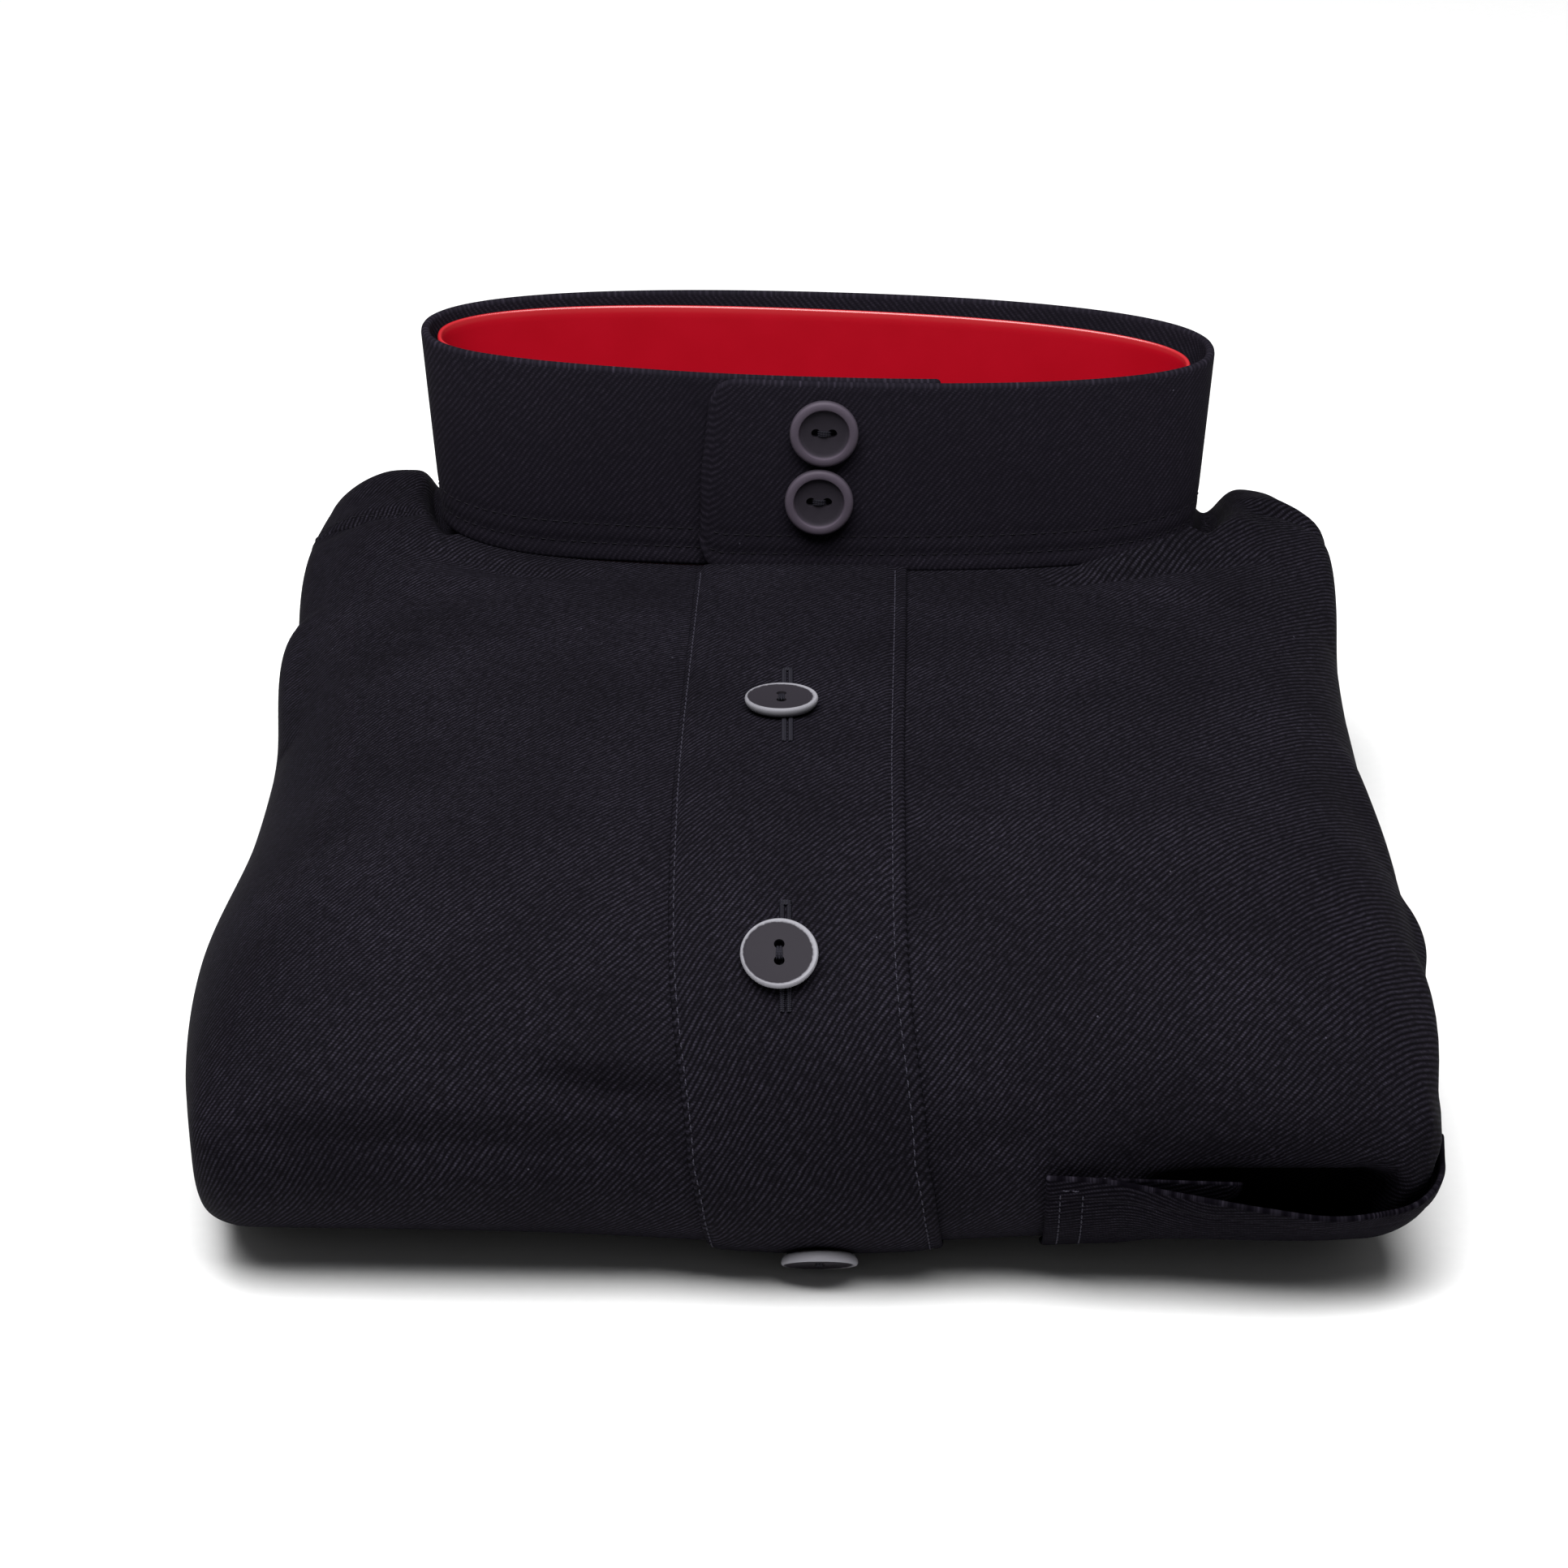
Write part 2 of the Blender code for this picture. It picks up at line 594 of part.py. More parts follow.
def collar(material):
    """The stand collar: one band, its left end on top of its right end at the front."""
    degrees = collar_path(70)
    distance = (np.arange(len(degrees))[::-1]) * (COLLAR_LENGTH / (len(degrees) - 1))
    inside = np.clip(TAB_CORNER - distance, 0.0, None)
    pinch = (TAB_CORNER - np.sqrt(np.maximum(TAB_CORNER**2 - inside**2, 0.0))) / COLLAR_HEIGHT
    rows = []
    for share in np.linspace(0, 1, 6):
        rows.append(collar_line(degrees, pinch + share * (1 - 2 * pinch)))
    piece = sheet("collar", np.array(rows), COLLAR_WALL, flip=True)
    piece.data.materials.append(material)
    return piece


def collar_support(material):
    """A smooth closed strip that stands inside the collar and keeps it up."""
    degrees = np.linspace(0, 360, 57)[:-1]
    inner_half = (SUPPORT_HALF[0] - SUPPORT_WALL, SUPPORT_HALF[1] - SUPPORT_WALL)
    plan = oval(SUPPORT_HALF, SUPPORT_Y, degrees, FOOT_SKEW)
    inner = oval(inner_half, SUPPORT_Y, degrees, FOOT_SKEW)
    lift = RIM_Z - SUPPORT_BELOW_RIM + RIM_TILT * plan[:, 0] / RIM_HALF[0]
    foot = top(plan[:, 0], plan[:, 1]) - BEDDING + 2 * GAP
    lean = np.column_stack([np.zeros(len(plan)), np.full(len(plan), SUPPORT_LEAN)])
    rows = [
        np.column_stack([plan, foot]),
        np.column_stack([plan + lean, lift]),
        np.column_stack([inner + lean, lift]),
        np.column_stack([inner, foot]),
    ]
    count = len(degrees)
    faces = ring_faces(len(rows), count)
    for c in range(count):
        beside = (c + 1) % count
        last = (len(rows) - 1) * count
        faces.append((last + c, last + beside, beside, c))
    shape = make_mesh("collar_support", np.concatenate(rows), faces)
    shape.data.shade_smooth()
    shape.data.materials.append(material)
    return shape


def placket_middle(run):
    """x of the placket's middle along its run."""
    runs = table(PLACKET_MIDDLE, MIDDLE_COLUMNS, "run")
    return curve_through(run, runs, table(PLACKET_MIDDLE, MIDDLE_COLUMNS, "x"))


def front_run(x, run):
    """A point of the skin down the front: run is 1 at the placket's top, 0 at the widest line, -1 under."""
    x = np.asarray(x, float)
    edge = front_edge(x)
    if run < 0:
        return under(np.column_stack([x, edge]), np.full(len(x), -run * 90.0), pressed=False)
    y = edge + (PLACKET_TOP - edge) * run**PLACKET_RUN_POWER
    return np.stack([x, y, top(x, y)], axis=-1)


def placket(material):
    """The placket: a strip on the fronts' meeting edges, over the front end and under it."""
    runs = np.concatenate([np.linspace(1, 0, 22), np.linspace(0, -PLACKET_WRAP / 90, 9)[1:]])
    across = np.linspace(-PLACKET_HALF, PLACKET_HALF, 7)
    grid = np.array([front_run(across + float(placket_middle(run)), float(run)) for run in runs])
    grid = grid + grid_normals(grid[::-1])[::-1] * PLACKET_STAND
    piece = sheet("placket", grid, CLOTH, flip=True)
    piece.data.materials.append(material)
    return piece


def standing_off(points, degree_rows, stands):
    """A grid over the lower front, each row moved out from it along its normals."""
    base = np.array([under(points, degrees, pressed=False) for degrees in degree_rows])
    return base + grid_normals(base) * np.array(stands)[:, :, None]


def lower_right(count, length, start):
    """The widest line from x = start on the front end, round the right corner."""
    dense, normals, run = sampled(front_path(), 1200)
    begin = np.flatnonzero((dense[:, 0] > start) & (dense[:, 1] < FRONT + 30))[0]
    at = run[begin] + np.linspace(0.0, length, count)
    points = np.stack([np.interp(at, run, dense[:, k]) for k in range(2)], axis=1)
    out = np.stack([np.interp(at, run, normals[:, k]) for k in range(2)], axis=1)
    return points, out, at - at[0]


def chest_pocket(material):
    """The pocket: sewn down at its edge, its mouth gaping round the lower right corner."""
    along = table(POCKET_MOUTH, POCKET_COLUMNS, "along")
    points, normals, run = lower_right(26, along[-1], POCKET_FROM)
    mouth = curve_through(run, along, table(POCKET_MOUTH, POCKET_COLUMNS, "mouth"))
    gape = curve_through(run, along, table(POCKET_MOUTH, POCKET_COLUMNS, "gape"))
    foot = np.minimum(side_wrap(points, normals) + POCKET_TUCK, POCKET_WRAP)
    shares = np.linspace(0, 1, 8)
    degree_rows = [foot + (mouth - foot) * share for share in shares]
    stands = [POCKET_CLEAR + CLOTH + (gape - GAP) * share**POCKET_FLARE for share in shares]
    piece = sheet("chest_pocket", standing_off(points, degree_rows, stands), CLOTH)
    piece.data.materials.append(material)
    return piece


def pocket_hem(material):
    """The turned hem of the pocket's mouth, a narrow strip behind its edge."""
    points, _, run = lower_right(10, HEM_WIDTH, POCKET_FROM + 1.0)
    low, high = HEM_DEGREES[1], HEM_DEGREES[0] + HEM_FALL * run / HEM_WIDTH
    degree_rows = [low + (high - low) * share for share in np.linspace(0, 1, 4)]
    stands = [np.full(len(run), HEM_STAND) for _ in degree_rows]
    piece = sheet("pocket_hem", standing_off(points, degree_rows, stands), HEM_WALL)
    piece.data.materials.append(material)
    return piece


def button(name, seat, dished, upright_holes, material):
    """A round button on its seat: a turned blank, dished or flat, with two thread holes bored through."""
    profile = (DISHED_FACE if dished else FLAT_FACE) + BUTTON_EDGE
    mesh = bpy.data.meshes.new(name)
    points = [(out * BUTTON_RADIUS * MM, 0.0, up * BUTTON_THICK * MM) for out, up in profile]
    mesh.from_pydata(points, [(k, k + 1) for k in range(len(points) - 1)], [])
    blank = bpy.data.objects.new(name, mesh)
    bpy.context.scene.collection.objects.link(blank)
    turned = blank.modifiers.new("turned", "SCREW")
    turned.steps = turned.render_steps = BUTTON_SIDES
    turned.use_merge_vertices = True
    turned.merge_threshold = 0.00001
    blank.matrix_world = seat
    for side in (-1, 1):
        cut = bmesh.new()
        bmesh.ops.create_cone(
            cut,
            cap_ends=True,
            segments=HOLE_SIDES,
            radius1=HOLE_RADIUS * MM,
            radius2=HOLE_RADIUS * MM,
            depth=4 * BUTTON_THICK * MM,
        )
        drill_mesh = bpy.data.meshes.new(name + "_drill")
        cut.to_mesh(drill_mesh)
        cut.free()
        drill = bpy.data.objects.new(f"{name}_drill_{side}", drill_mesh)
        CUTTERS.objects.link(drill)
        apart = side * HOLE_APART / 2 * MM
        offset = (0.0, apart, 0.0) if upright_holes else (apart, 0.0, 0.0)
        drill.matrix_world = seat @ Matrix.Translation(offset)
        drill.hide_render = True
        drill.display_type = "WIRE"
        hole = blank.modifiers.new("hole", "BOOLEAN")
        hole.operation = "DIFFERENCE"
        hole.solver = "EXACT"
        hole.object = drill
    blank.data.materials.append(material)
    return blank


def seat_frame(point, across, up, lift):
    """A frame on a surface: x across, y up the piece, z out of it, lifted off it."""
    out = np.cross(across, up)
    out = out / np.linalg.norm(out)
    across = across / np.linalg.norm(across)
    up = np.cross(out, across)
    frame = np.eye(4)
    frame[:3, 0], frame[:3, 1], frame[:3, 2] = across, up, out
    frame[:3, 3] = (point + out * lift) * MM
    return Matrix(frame.tolist())


def placket_seat(x, run):
    """The frame of a button on the placket."""
    here = front_run([x, x + 1.0], run)
    above = front_run([x], run + 0.01)[0]
    below = front_run([x], run - 0.01)[0]
    return seat_frame(here[0], here[1] - here[0], above - below, PLACKET_STAND + BUTTON_SEAT)


def collar_seat(x, share):
    """The frame of a button on the collar's tab."""
    turn = math.asin((abs(x) / FOOT_HALF[0]) ** (COLLAR_SQUARE / 2))
    centre = -90 + math.degrees(math.copysign(turn, x))
    near = np.array([centre, centre + 1.0])
    line = collar_line(near, np.full(2, share))
    above = collar_line(near[:1], np.full(1, share + 0.1))[0]
    return seat_frame(line[0], line[1] - line[0], above - line[0], COLLAR_BUTTON_SEAT)


def finish(name, colour, roughness):
    """A plain material."""
    material = bpy.data.materials.new(name)
    material.use_nodes = True
    shader = material.node_tree.nodes["Principled BSDF"]
    shader.inputs["Base Color"].default_value = (*colour, 1.0)
    shader.inputs["Roughness"].default_value = roughness
    return material


def clear_scene():
    """Remove what a new file holds."""
    for thing in list(bpy.data.objects):
        bpy.data.objects.remove(thing)


def gather(pieces):
    """Put the pieces in the robe's own collection."""
    robe = bpy.data.collections.new("folded_robe")
    bpy.context.scene.collection.children.link(robe)
    for piece in pieces:
        for home in list(piece.users_collection):
            home.objects.unlink(piece)
        robe.objects.link(piece)


clear_scene()
CUTTERS = bpy.data.collections.new("cutters")
bpy.context.scene.collection.children.link(CUTTERS)

twill = finish("navy_twill", (0.010, 0.010, 0.018), 0.85)
folded_twill = finish("folded_twill", (0.009, 0.009, 0.016), 0.9)
smoke_resin = finish("smoke_resin", (0.10, 0.09, 0.11), 0.45)
red_card = finish("red_card", (0.36, 0.005, 0.012), 0.3)

made = [folded_layers(folded_twill)]
made += fronts(twill)
made.append(back_yoke(twill))
made += [sleeve(side, folded_twill) for side in (-1, 1)]
made.append(placket(twill))
made.append(collar(twill))
made.append(collar_support(red_card))
made.append(chest_pocket(twill))
made.append(pocket_hem(twill))
for label, x, share in COLLAR_BUTTONS:
    made.append(button(f"collar_button_{label}", collar_seat(x, share), True, False, smoke_resin))
for label, x, run in PLACKET_BUTTONS:
    made.append(button(f"placket_button_{label}", placket_seat(x, run), False, True, smoke_resin))
gather(made)
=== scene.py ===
"""Looks of a long stand-collar robe in near-black twill, folded into a bundle, its collar standing up.

Lengths are in millimetres until a mesh is made. x runs across the bundle, y from its rounded front end
to its back, and z up. The cloth lies on the bundle's skin: a domed top, a widest line all round it, and an
underside that curves in to the floor. Creases are soft ridges and troughs added along the skin's normals.
"""

import math

import bmesh
import bpy
import numpy as np
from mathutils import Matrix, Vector


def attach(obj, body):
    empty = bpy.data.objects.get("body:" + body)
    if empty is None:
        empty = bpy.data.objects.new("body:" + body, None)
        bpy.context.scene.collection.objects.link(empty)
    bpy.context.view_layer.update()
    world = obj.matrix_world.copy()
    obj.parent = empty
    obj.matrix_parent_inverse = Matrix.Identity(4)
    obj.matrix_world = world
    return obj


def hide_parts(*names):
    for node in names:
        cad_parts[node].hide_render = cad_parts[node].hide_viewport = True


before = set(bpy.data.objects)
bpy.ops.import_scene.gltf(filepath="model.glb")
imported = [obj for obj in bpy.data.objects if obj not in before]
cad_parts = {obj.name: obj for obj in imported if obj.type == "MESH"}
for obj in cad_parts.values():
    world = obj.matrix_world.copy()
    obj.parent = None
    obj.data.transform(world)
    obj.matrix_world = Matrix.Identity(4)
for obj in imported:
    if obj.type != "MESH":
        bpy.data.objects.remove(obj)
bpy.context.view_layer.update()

MM = 0.001
CLOTH = 1.2
GAP = 0.3
BODY = "root"

# Plan of the bundle
LENGTH = 285.8
POCKET_PROUD = 2.9
FRONT = -LENGTH / 2 + POCKET_PROUD
BACK = LENGTH / 2
HALF_WIDTH = 118.0
FRONT_CORNER = 8.0
BACK_CORNER = 30.0
FRONT_BOW = 1.5
SEAM_Y = 103.0
CORNER_WEIGHT = 26.0  # millimetres that a radian of turning counts for where a line is sampled

# Section of the bundle
EDGE_Z = 34.0
FRONT_REACH = 73.0
BACK_REACH = 30.0
FRONT_SQUARE = 2.2
BACK_SQUARE = 2.5
UNDER_REACHES = ((-120.0, 60.0), (-60.0, 58.0), (0.0, 45.0), (60.0, 56.0), (120.0, 58.0))  # x, reach
UNDER_SPAN = 100.0
UNDER_SQUARE = 2.1
UNDER_SIDE = (9.0, 2.8)  # reach, square
UNDER_RIGHT = (18.0, 2.0)
UNDER_RIGHT_ENDS = (-122.0, -78.0)
UNDER_BACK = (11.0, 2.8)
UNDER_CORNER = 44.0
UNDER_WRAP = 66.0  # degrees, as are the next and the last
SIDE_WRAP = 6.0
WRAP_ENDS = (-92.0, -38.0)
YOKE_WRAP = 10.0
STATION_COLUMNS = ("y", "left", "right", "crown", "left_square", "right_square")
STATIONS = (
    (-140.0, 121.5, 119.6, 83.0, 2.6, 3.2),
    (-108.0, 125.0, 122.0, 82.0, 2.4, 3.0),
    (-73.0, 125.5, 123.0, 81.0, 2.3, 3.0),
    (-23.0, 119.0, 118.5, 79.0, 2.6, 3.2),
    (32.0, 115.5, 116.0, 74.5, 4.0, 4.5),
    (72.0, 114.5, 116.3, 69.8, 6.0, 6.5),
    (102.0, 113.5, 117.5, 69.0, 7.0, 6.5),
    (140.0, 111.5, 115.5, 66.0, 7.0, 5.5),
)
SWELLINGS = (  # middle x and y, half spread in x and y, height
    (-88.0, 91.0, 20.0, 22.0, 4.0),
    (88.0, 91.0, 20.0, 22.0, 4.0),
    (-92.0, 123.0, 24.0, 16.0, 4.5),
)

# Folded layers at the sides and the back: middle height, half height, inset, depth of the groove
PLIES = (
    (2.7, 2.6, 5.0, 2.4),
    (7.8, 2.3, 4.2, 2.6),
    (12.2, 2.0, 5.4, 2.4),
    (18.9, 2.4, 3.9, 3.4),
    (24.2, 2.6, 3.4, 3.6),
)
PLY_GROOVE = 8.4
BEDDING = 1.9
BACK_BEDDING = 2.8
LAYER_TOP = 30.0
SLEEVE_LAYER = (21.8, 5.4, 3.2, 5.5)  # middle height, half height, inset, depth
SLEEVE_PROUD = {-1: 3.6, 1: 2.2}  # by side
SLEEVE_FROM = -25.0
SLEEVE_TO = 101.0
SLEEVE_RISES = (SLEEVE_FROM + 8.0, SLEEVE_FROM + 60.0)  # where its fold comes to stand out
SLEEVE_FALLS = (SLEEVE_TO - 8.0, SLEEVE_TO + 14.0)  # and where it goes back in
SLEEVE_TURN = 72  # degrees round the fold, up and down from its middle
SLEEVE_RIPPLES = ((0.35, 9.0), (0.25, 4.3))  # height, length
PROUD_ABOVE = (15.0, 18.0)  # heights between which the layers come out under the sleeves
PLY_WANDER = 0.6  # how far a ply's edge wanders in and out
LAYER_GRID = (361, 141, 91)  # columns in front and behind, rows up to the layers' top
LAYER_MARGIN = 4.0  # round the hollow behind the pocket
LAYER_INSIDE = (2.6, 1.2)  # how far the layers lie inside the fronts, and how much further at the floor

# Stand collar and the strip inside it
COLLAR_WALL = 2.0
COLLAR_X = 1.1
COLLAR_Y = 89.0
FOOT_SKEW = 0.028
COLLAR_SQUARE = 2.25
FOOT_HALF = (84.5, 25.0)
RIM_HALF = (88.3, 26.5)
RIM_Y = 93.5
RIM_Z = 113.0
RIM_TILT = -2.6
RIM_BACK_RISE = 1.2
RIM_BACK_FROM = (77.0, 117.0)
TAB_END_X = -26.4
TAB_LEAN = 2.6  # degrees, over the next count of degrees
TAB_LEAN_OVER = 25.0
UNDERLAP_X = 25.0
TAB_CORNER = 4.5
COLLAR_REST = 0.6
COLLAR_LENGTH = 446.0
COLLAR_HEIGHT = 41.0
NECK_HALF = (82.3, 22.8)
LAP_ENDS = (196.0, 248.0)  # degrees over which the underlap moves in
SUPPORT_HALF = (80.6, 19.4)
SUPPORT_Y = 90.0
SUPPORT_WALL = 1.0
SUPPORT_BELOW_RIM = 2.2
SUPPORT_LEAN = 3.0
SUPPORT_SPREAD = (3.2, 1.0, 2.8)  # its upper edge springs out to both sides, more to the left, and behind
SUPPORT_BACK_RISE = 1.7

# Placket
PLACKET_HALF = 22.8
PLACKET_TOP = 62.9
PLACKET_WRAP = 64.0
PLACKET_STAND = CLOTH + 0.45
PLACKET_MIDDLE = ((-1.0, 2.6), (-0.3, 0.6), (0.0, -1.8), (0.2, -5.2), (0.5, -5.6), (1.0, -2.6))  # run, x
PLACKET_RUN_POWER = 1.7
PADDED, PRESSED, GATHERED, RIPPLED = 0.35, 0.5, 0.1, 0.12  # its own thickness, along its stitches, its waves

# Chest pocket
POCKET_FROM = 44.5
POCKET_WRAP = 58.0
POCKET_CLEAR = 0.65
POCKET_FLARE = 2.2
POCKET_MOUTH = (  # millimetres round the outline, degrees under the widest line, millimetres off the front
    (0.0, 2.5, 1.6),
    (10.0, 3.5, 1.7),
    (25.0, 7.0, 3.2),
    (42.0, 10.5, 5.0),
    (58.0, 14.0, 4.8),
    (70.0, 14.0, 2.4),
    (80.0, 9.0, 0.9),
    (87.0, 5.0, 0.4),
)
HOLLOW_DEPTH = 11.0
HOLLOW_X = (58.0, 78.0, 106.0, 117.0)  # where it starts, is full, stops being full, and ends
HOLLOW_Z = (33.5, 26.0)
HOLLOW_Y = (6.0, 14.0)  # back from the front end
HEM_WIDTH = 36.0
HEM_DEGREES = (4.5, 14.0)  # under the widest line
HEM_STAND = 1.2
HEM_WALL = 0.8
POCKET_SEWN = 0.5  # the share of the pocket, up from its foot, over which it meets the front
TURNED_THICK = 0.35  # what the turned hem adds to the pocket's mouth
TURNED_ENDS = (4.4, 5.4)  # down from the mouth
TURNED_STITCHES = (5.0, 0.2)  # down from the mouth, depth

# Buttons
BUTTON_RADIUS = 7.6
HOLE_RADIUS = 1.05
HOLE_APART = 3.6
BUTTON_SEAT = 0.35
COLLAR_BUTTONS = (("upper", -0.45, 0.762), ("lower", -0.7, 0.384))  # x from the middle, share of the height
PLACKET_BUTTONS = (("top", -7.0, 0.69), ("middle", -7.4, 0.243), ("low", 0.5, -0.52))  # x, run


def unit(vectors):
    """The vectors, each made one long."""
    return vectors / np.maximum(np.linalg.norm(vectors, axis=-1, keepdims=True), 1e-9)


def distances(path):
    """Distance run along a path's points, from its first."""
    return np.concatenate([[0.0], np.cumsum(np.linalg.norm(np.diff(path, axis=0), axis=1))])


def read_at(at, run, points):
    """A path's points, or what goes with them, read at distances along it."""
    return np.stack([np.interp(at, run, values) for values in points.T], axis=1)


def from_table(rows, at, k=1):
    """Column k of a table at any value of its first column.

    It is a smooth curve: a cubic between rows, its slopes those of the neighbours.
    """
    known, values = np.array(rows)[:, 0], np.array(rows)[:, k]
    slopes = np.gradient(values, known)
    row = np.clip(np.searchsorted(known, at) - 1, 0, len(known) - 2)
    span = known[row + 1] - known[row]
    t = np.clip((at - known[row]) / span, 0.0, 1.0)
    rise = values[row + 1] - values[row]
    start = slopes[row] * span
    end = slopes[row + 1] * span
    return values[row] + start * t + (3 * rise - 2 * start - end) * t**2 + (start + end - 2 * rise) * t**3


def step(at, low, high):
    """0 at low and 1 at high, with a smooth S between them."""
    t = np.clip((at - low) / (high - low), 0.0, 1.0)
    return t * t * (3 - 2 * t)


def bell(at, spread):
    """1 at 0, falling away on both sides as a Gaussian."""
    return np.exp(-((at / spread) ** 2))


def station(name, y):
    """A column of the stations at any y."""
    return from_table(STATIONS, y, STATION_COLUMNS.index(name))


def dome(inset, reach, square):
    """0 at an edge and 1 from reach inwards, as a superellipse."""
    rest = 1 - np.clip(inset / reach, 0.0, 1.0)
    return (1 - rest**square) ** (1 / square)


def front_edge(x):
    """y of the front end's widest line."""
    return FRONT + FRONT_BOW * (x / HALF_WIDTH) ** 2


def sided(x, y, kind=""):
    """The stations' half width at any y, or their square, on the side where x is."""
    return np.where(x < 0, station("left" + kind, y), station("right" + kind, y))


def top(x, y):
    """Height of the skin's top: the crown, let down to the widest line at the sides, front and back."""
    half = sided(x, y)
    sides = dome(half - np.abs(x), half, sided(x, y, "_square"))
    ends = dome(y - front_edge(x), FRONT_REACH, FRONT_SQUARE) * dome(BACK - y, BACK_REACH, BACK_SQUARE)
    swelling = 0.0
    for middle_x, middle_y, spread_x, spread_y, height in SWELLINGS:
        swelling = swelling + height * bell(x - middle_x, spread_x) * bell(y - middle_y, spread_y)
    return EDGE_Z + (station("crown", y) - EDGE_Z + swelling) * sides * ends


def arc(centre, radius, start, end, count=48):
    """Points of a round corner."""
    angle = np.radians(np.linspace(start, end, count))
    return np.stack([centre[0] + radius * np.cos(angle), centre[1] + radius * np.sin(angle)], axis=1)


def line(start, end, count=60):
    """Points along a straight line."""
    return np.linspace(start, end, count)


def on_plan(pieces):
    """A path on the plain rectangle, put on the plan's own half widths and the front's bow."""
    path = np.concatenate(pieces)
    path = path[np.concatenate([[True], np.linalg.norm(np.diff(path, axis=0), axis=1) > 1e-6])]
    x, y = path[:, 0], path[:, 1]
    bow = FRONT_BOW * (x / HALF_WIDTH) ** 2 * step(-y, -FRONT_REACH - FRONT, -FRONT)
    return np.stack([x * sided(x, y) / HALF_WIDTH, y + bow], axis=1)


def front_path():
    """The widest line from the left shoulder seam round the front end to the right one."""
    in_x, in_y = HALF_WIDTH - FRONT_CORNER, FRONT + FRONT_CORNER
    return on_plan(
        [
            line((-HALF_WIDTH, SEAM_Y), (-HALF_WIDTH, in_y)),
            arc((-in_x, in_y), FRONT_CORNER, 180, 270),
            line((-in_x, FRONT), (in_x, FRONT)),
            arc((in_x, in_y), FRONT_CORNER, 270, 360),
            line((HALF_WIDTH, in_y), (HALF_WIDTH, SEAM_Y)),
        ]
    )


def back_path(seam):
    """The widest line from the right shoulder seam round the back to the left one."""
    in_x, in_y = HALF_WIDTH - BACK_CORNER, BACK - BACK_CORNER
    return on_plan(
        [
            [[HALF_WIDTH, seam]],
            arc((in_x, in_y), BACK_CORNER, 0, 90),
            line((in_x, BACK), (-in_x, BACK)),
            arc((-in_x, in_y), BACK_CORNER, 90, 180),
            [[-HALF_WIDTH, seam]],
        ]
    )


def sampled(path, count):
    """count points along a path, closer where it turns, with its outward normals and the distance run."""
    run = np.diff(path, axis=0)
    length = np.linalg.norm(run, axis=1)
    heading = np.unwrap(np.arctan2(run[:, 1], run[:, 0]))
    turning = np.concatenate([[0.0], np.abs(np.diff(heading))])
    cost = np.concatenate([[0.0], np.cumsum(length + CORNER_WEIGHT * turning)])
    at = np.linspace(0.0, cost[-1], count)
    angle = np.interp(at, (cost[1:] + cost[:-1]) / 2, heading)
    out = np.stack([np.sin(angle), -np.cos(angle)], axis=1)
    return read_at(at, cost, path), out, np.interp(at, cost, distances(path))


def oval(half, centre_y, degrees, skew=0.0):
    """Points of the collar's superellipse at the given angles; the skew moves its right end forward."""
    angle = np.radians(degrees)
    across, along = np.cos(angle), np.sin(angle)
    x = half[0] * np.sign(across) * np.abs(across) ** (2 / COLLAR_SQUARE)
    y = centre_y + half[1] * np.sign(along) * np.abs(along) ** (2 / COLLAR_SQUARE)
    return np.stack([COLLAR_X + x, y - skew * x], axis=-1)


def neck_line(start, end, count):
    """Points of the neck's oval from one angle to another."""
    return oval(NECK_HALF, COLLAR_Y, np.linspace(start, end, count), FOOT_SKEW)


def frontness(normals):
    """1 where the widest line faces the front end and 0 where it faces a side or the back."""
    return np.clip(-normals[:, 1], 0.0, 1.0) ** 1.5


def hollow(x, y, z, margin):
    """How far the front is pressed in behind the pocket's mouth; the margin widens and deepens it."""
    across = step(x, HOLLOW_X[0] - margin, HOLLOW_X[1] - margin)
    across = across * (1 - step(x, HOLLOW_X[2] + margin, HOLLOW_X[3] + margin))
    down = 1 - step(z, HOLLOW_Z[1] + margin, HOLLOW_Z[0] + margin)
    back = 1 - step(y, FRONT + HOLLOW_Y[0], FRONT + HOLLOW_Y[1])
    return (HOLLOW_DEPTH + margin / 2) * across * down * back


def curl(drop, square):
    """Share of the way in at that share of the way down, on a quarter superellipse."""
    return 1 - (1 - drop**square) ** (1 / square)


def under(points, degrees, pressed=True, margin=0.0):
    """A row of the skin below the widest line: it curves in along quarter superellipses to the floor."""
    x, y = points[:, 0], points[:, 1]
    half = sided(x, y)
    drop = np.sin(np.radians(degrees))
    z = EDGE_Z * (1 - drop)
    corner = UNDER_RIGHT[0] * curl(drop, UNDER_RIGHT[1]) * (x > 0) * (1 - step(y, *UNDER_RIGHT_ENDS))
    inward = (UNDER_SIDE[0] * curl(drop, UNDER_SIDE[1]) + corner) * step(np.abs(x), half - UNDER_CORNER, half)
    front_reach = from_table(UNDER_REACHES, x)
    backward = front_reach * curl(drop, UNDER_SQUARE) * (1 - step(y - front_edge(x), 0.0, UNDER_SPAN))
    backward = backward - UNDER_BACK[0] * curl(drop, UNDER_BACK[1]) * step(y, BACK - UNDER_CORNER, BACK)
    if pressed:
        backward = backward + hollow(x, y, z, margin)
    return np.column_stack([x - np.sign(x) * inward, y + backward, z])


def over(points, neck, share):
    """A row of the skin's top, that share of the way from the widest line to the neck."""
    plan = points + (neck - points) * share
    height = top(plan[:, 0], plan[:, 1]) if share > 0 else np.full(len(plan), EDGE_Z)
    return np.column_stack([plan, height])


def side_wrap(points, normals):
    """How far round under the widest line the fronts turn: fully at the front end, hardly at the sides."""
    reach = 1 - step(points[:, 1], *WRAP_ENDS)
    return SIDE_WRAP + (UNDER_WRAP - SIDE_WRAP) * np.maximum(reach, frontness(normals))


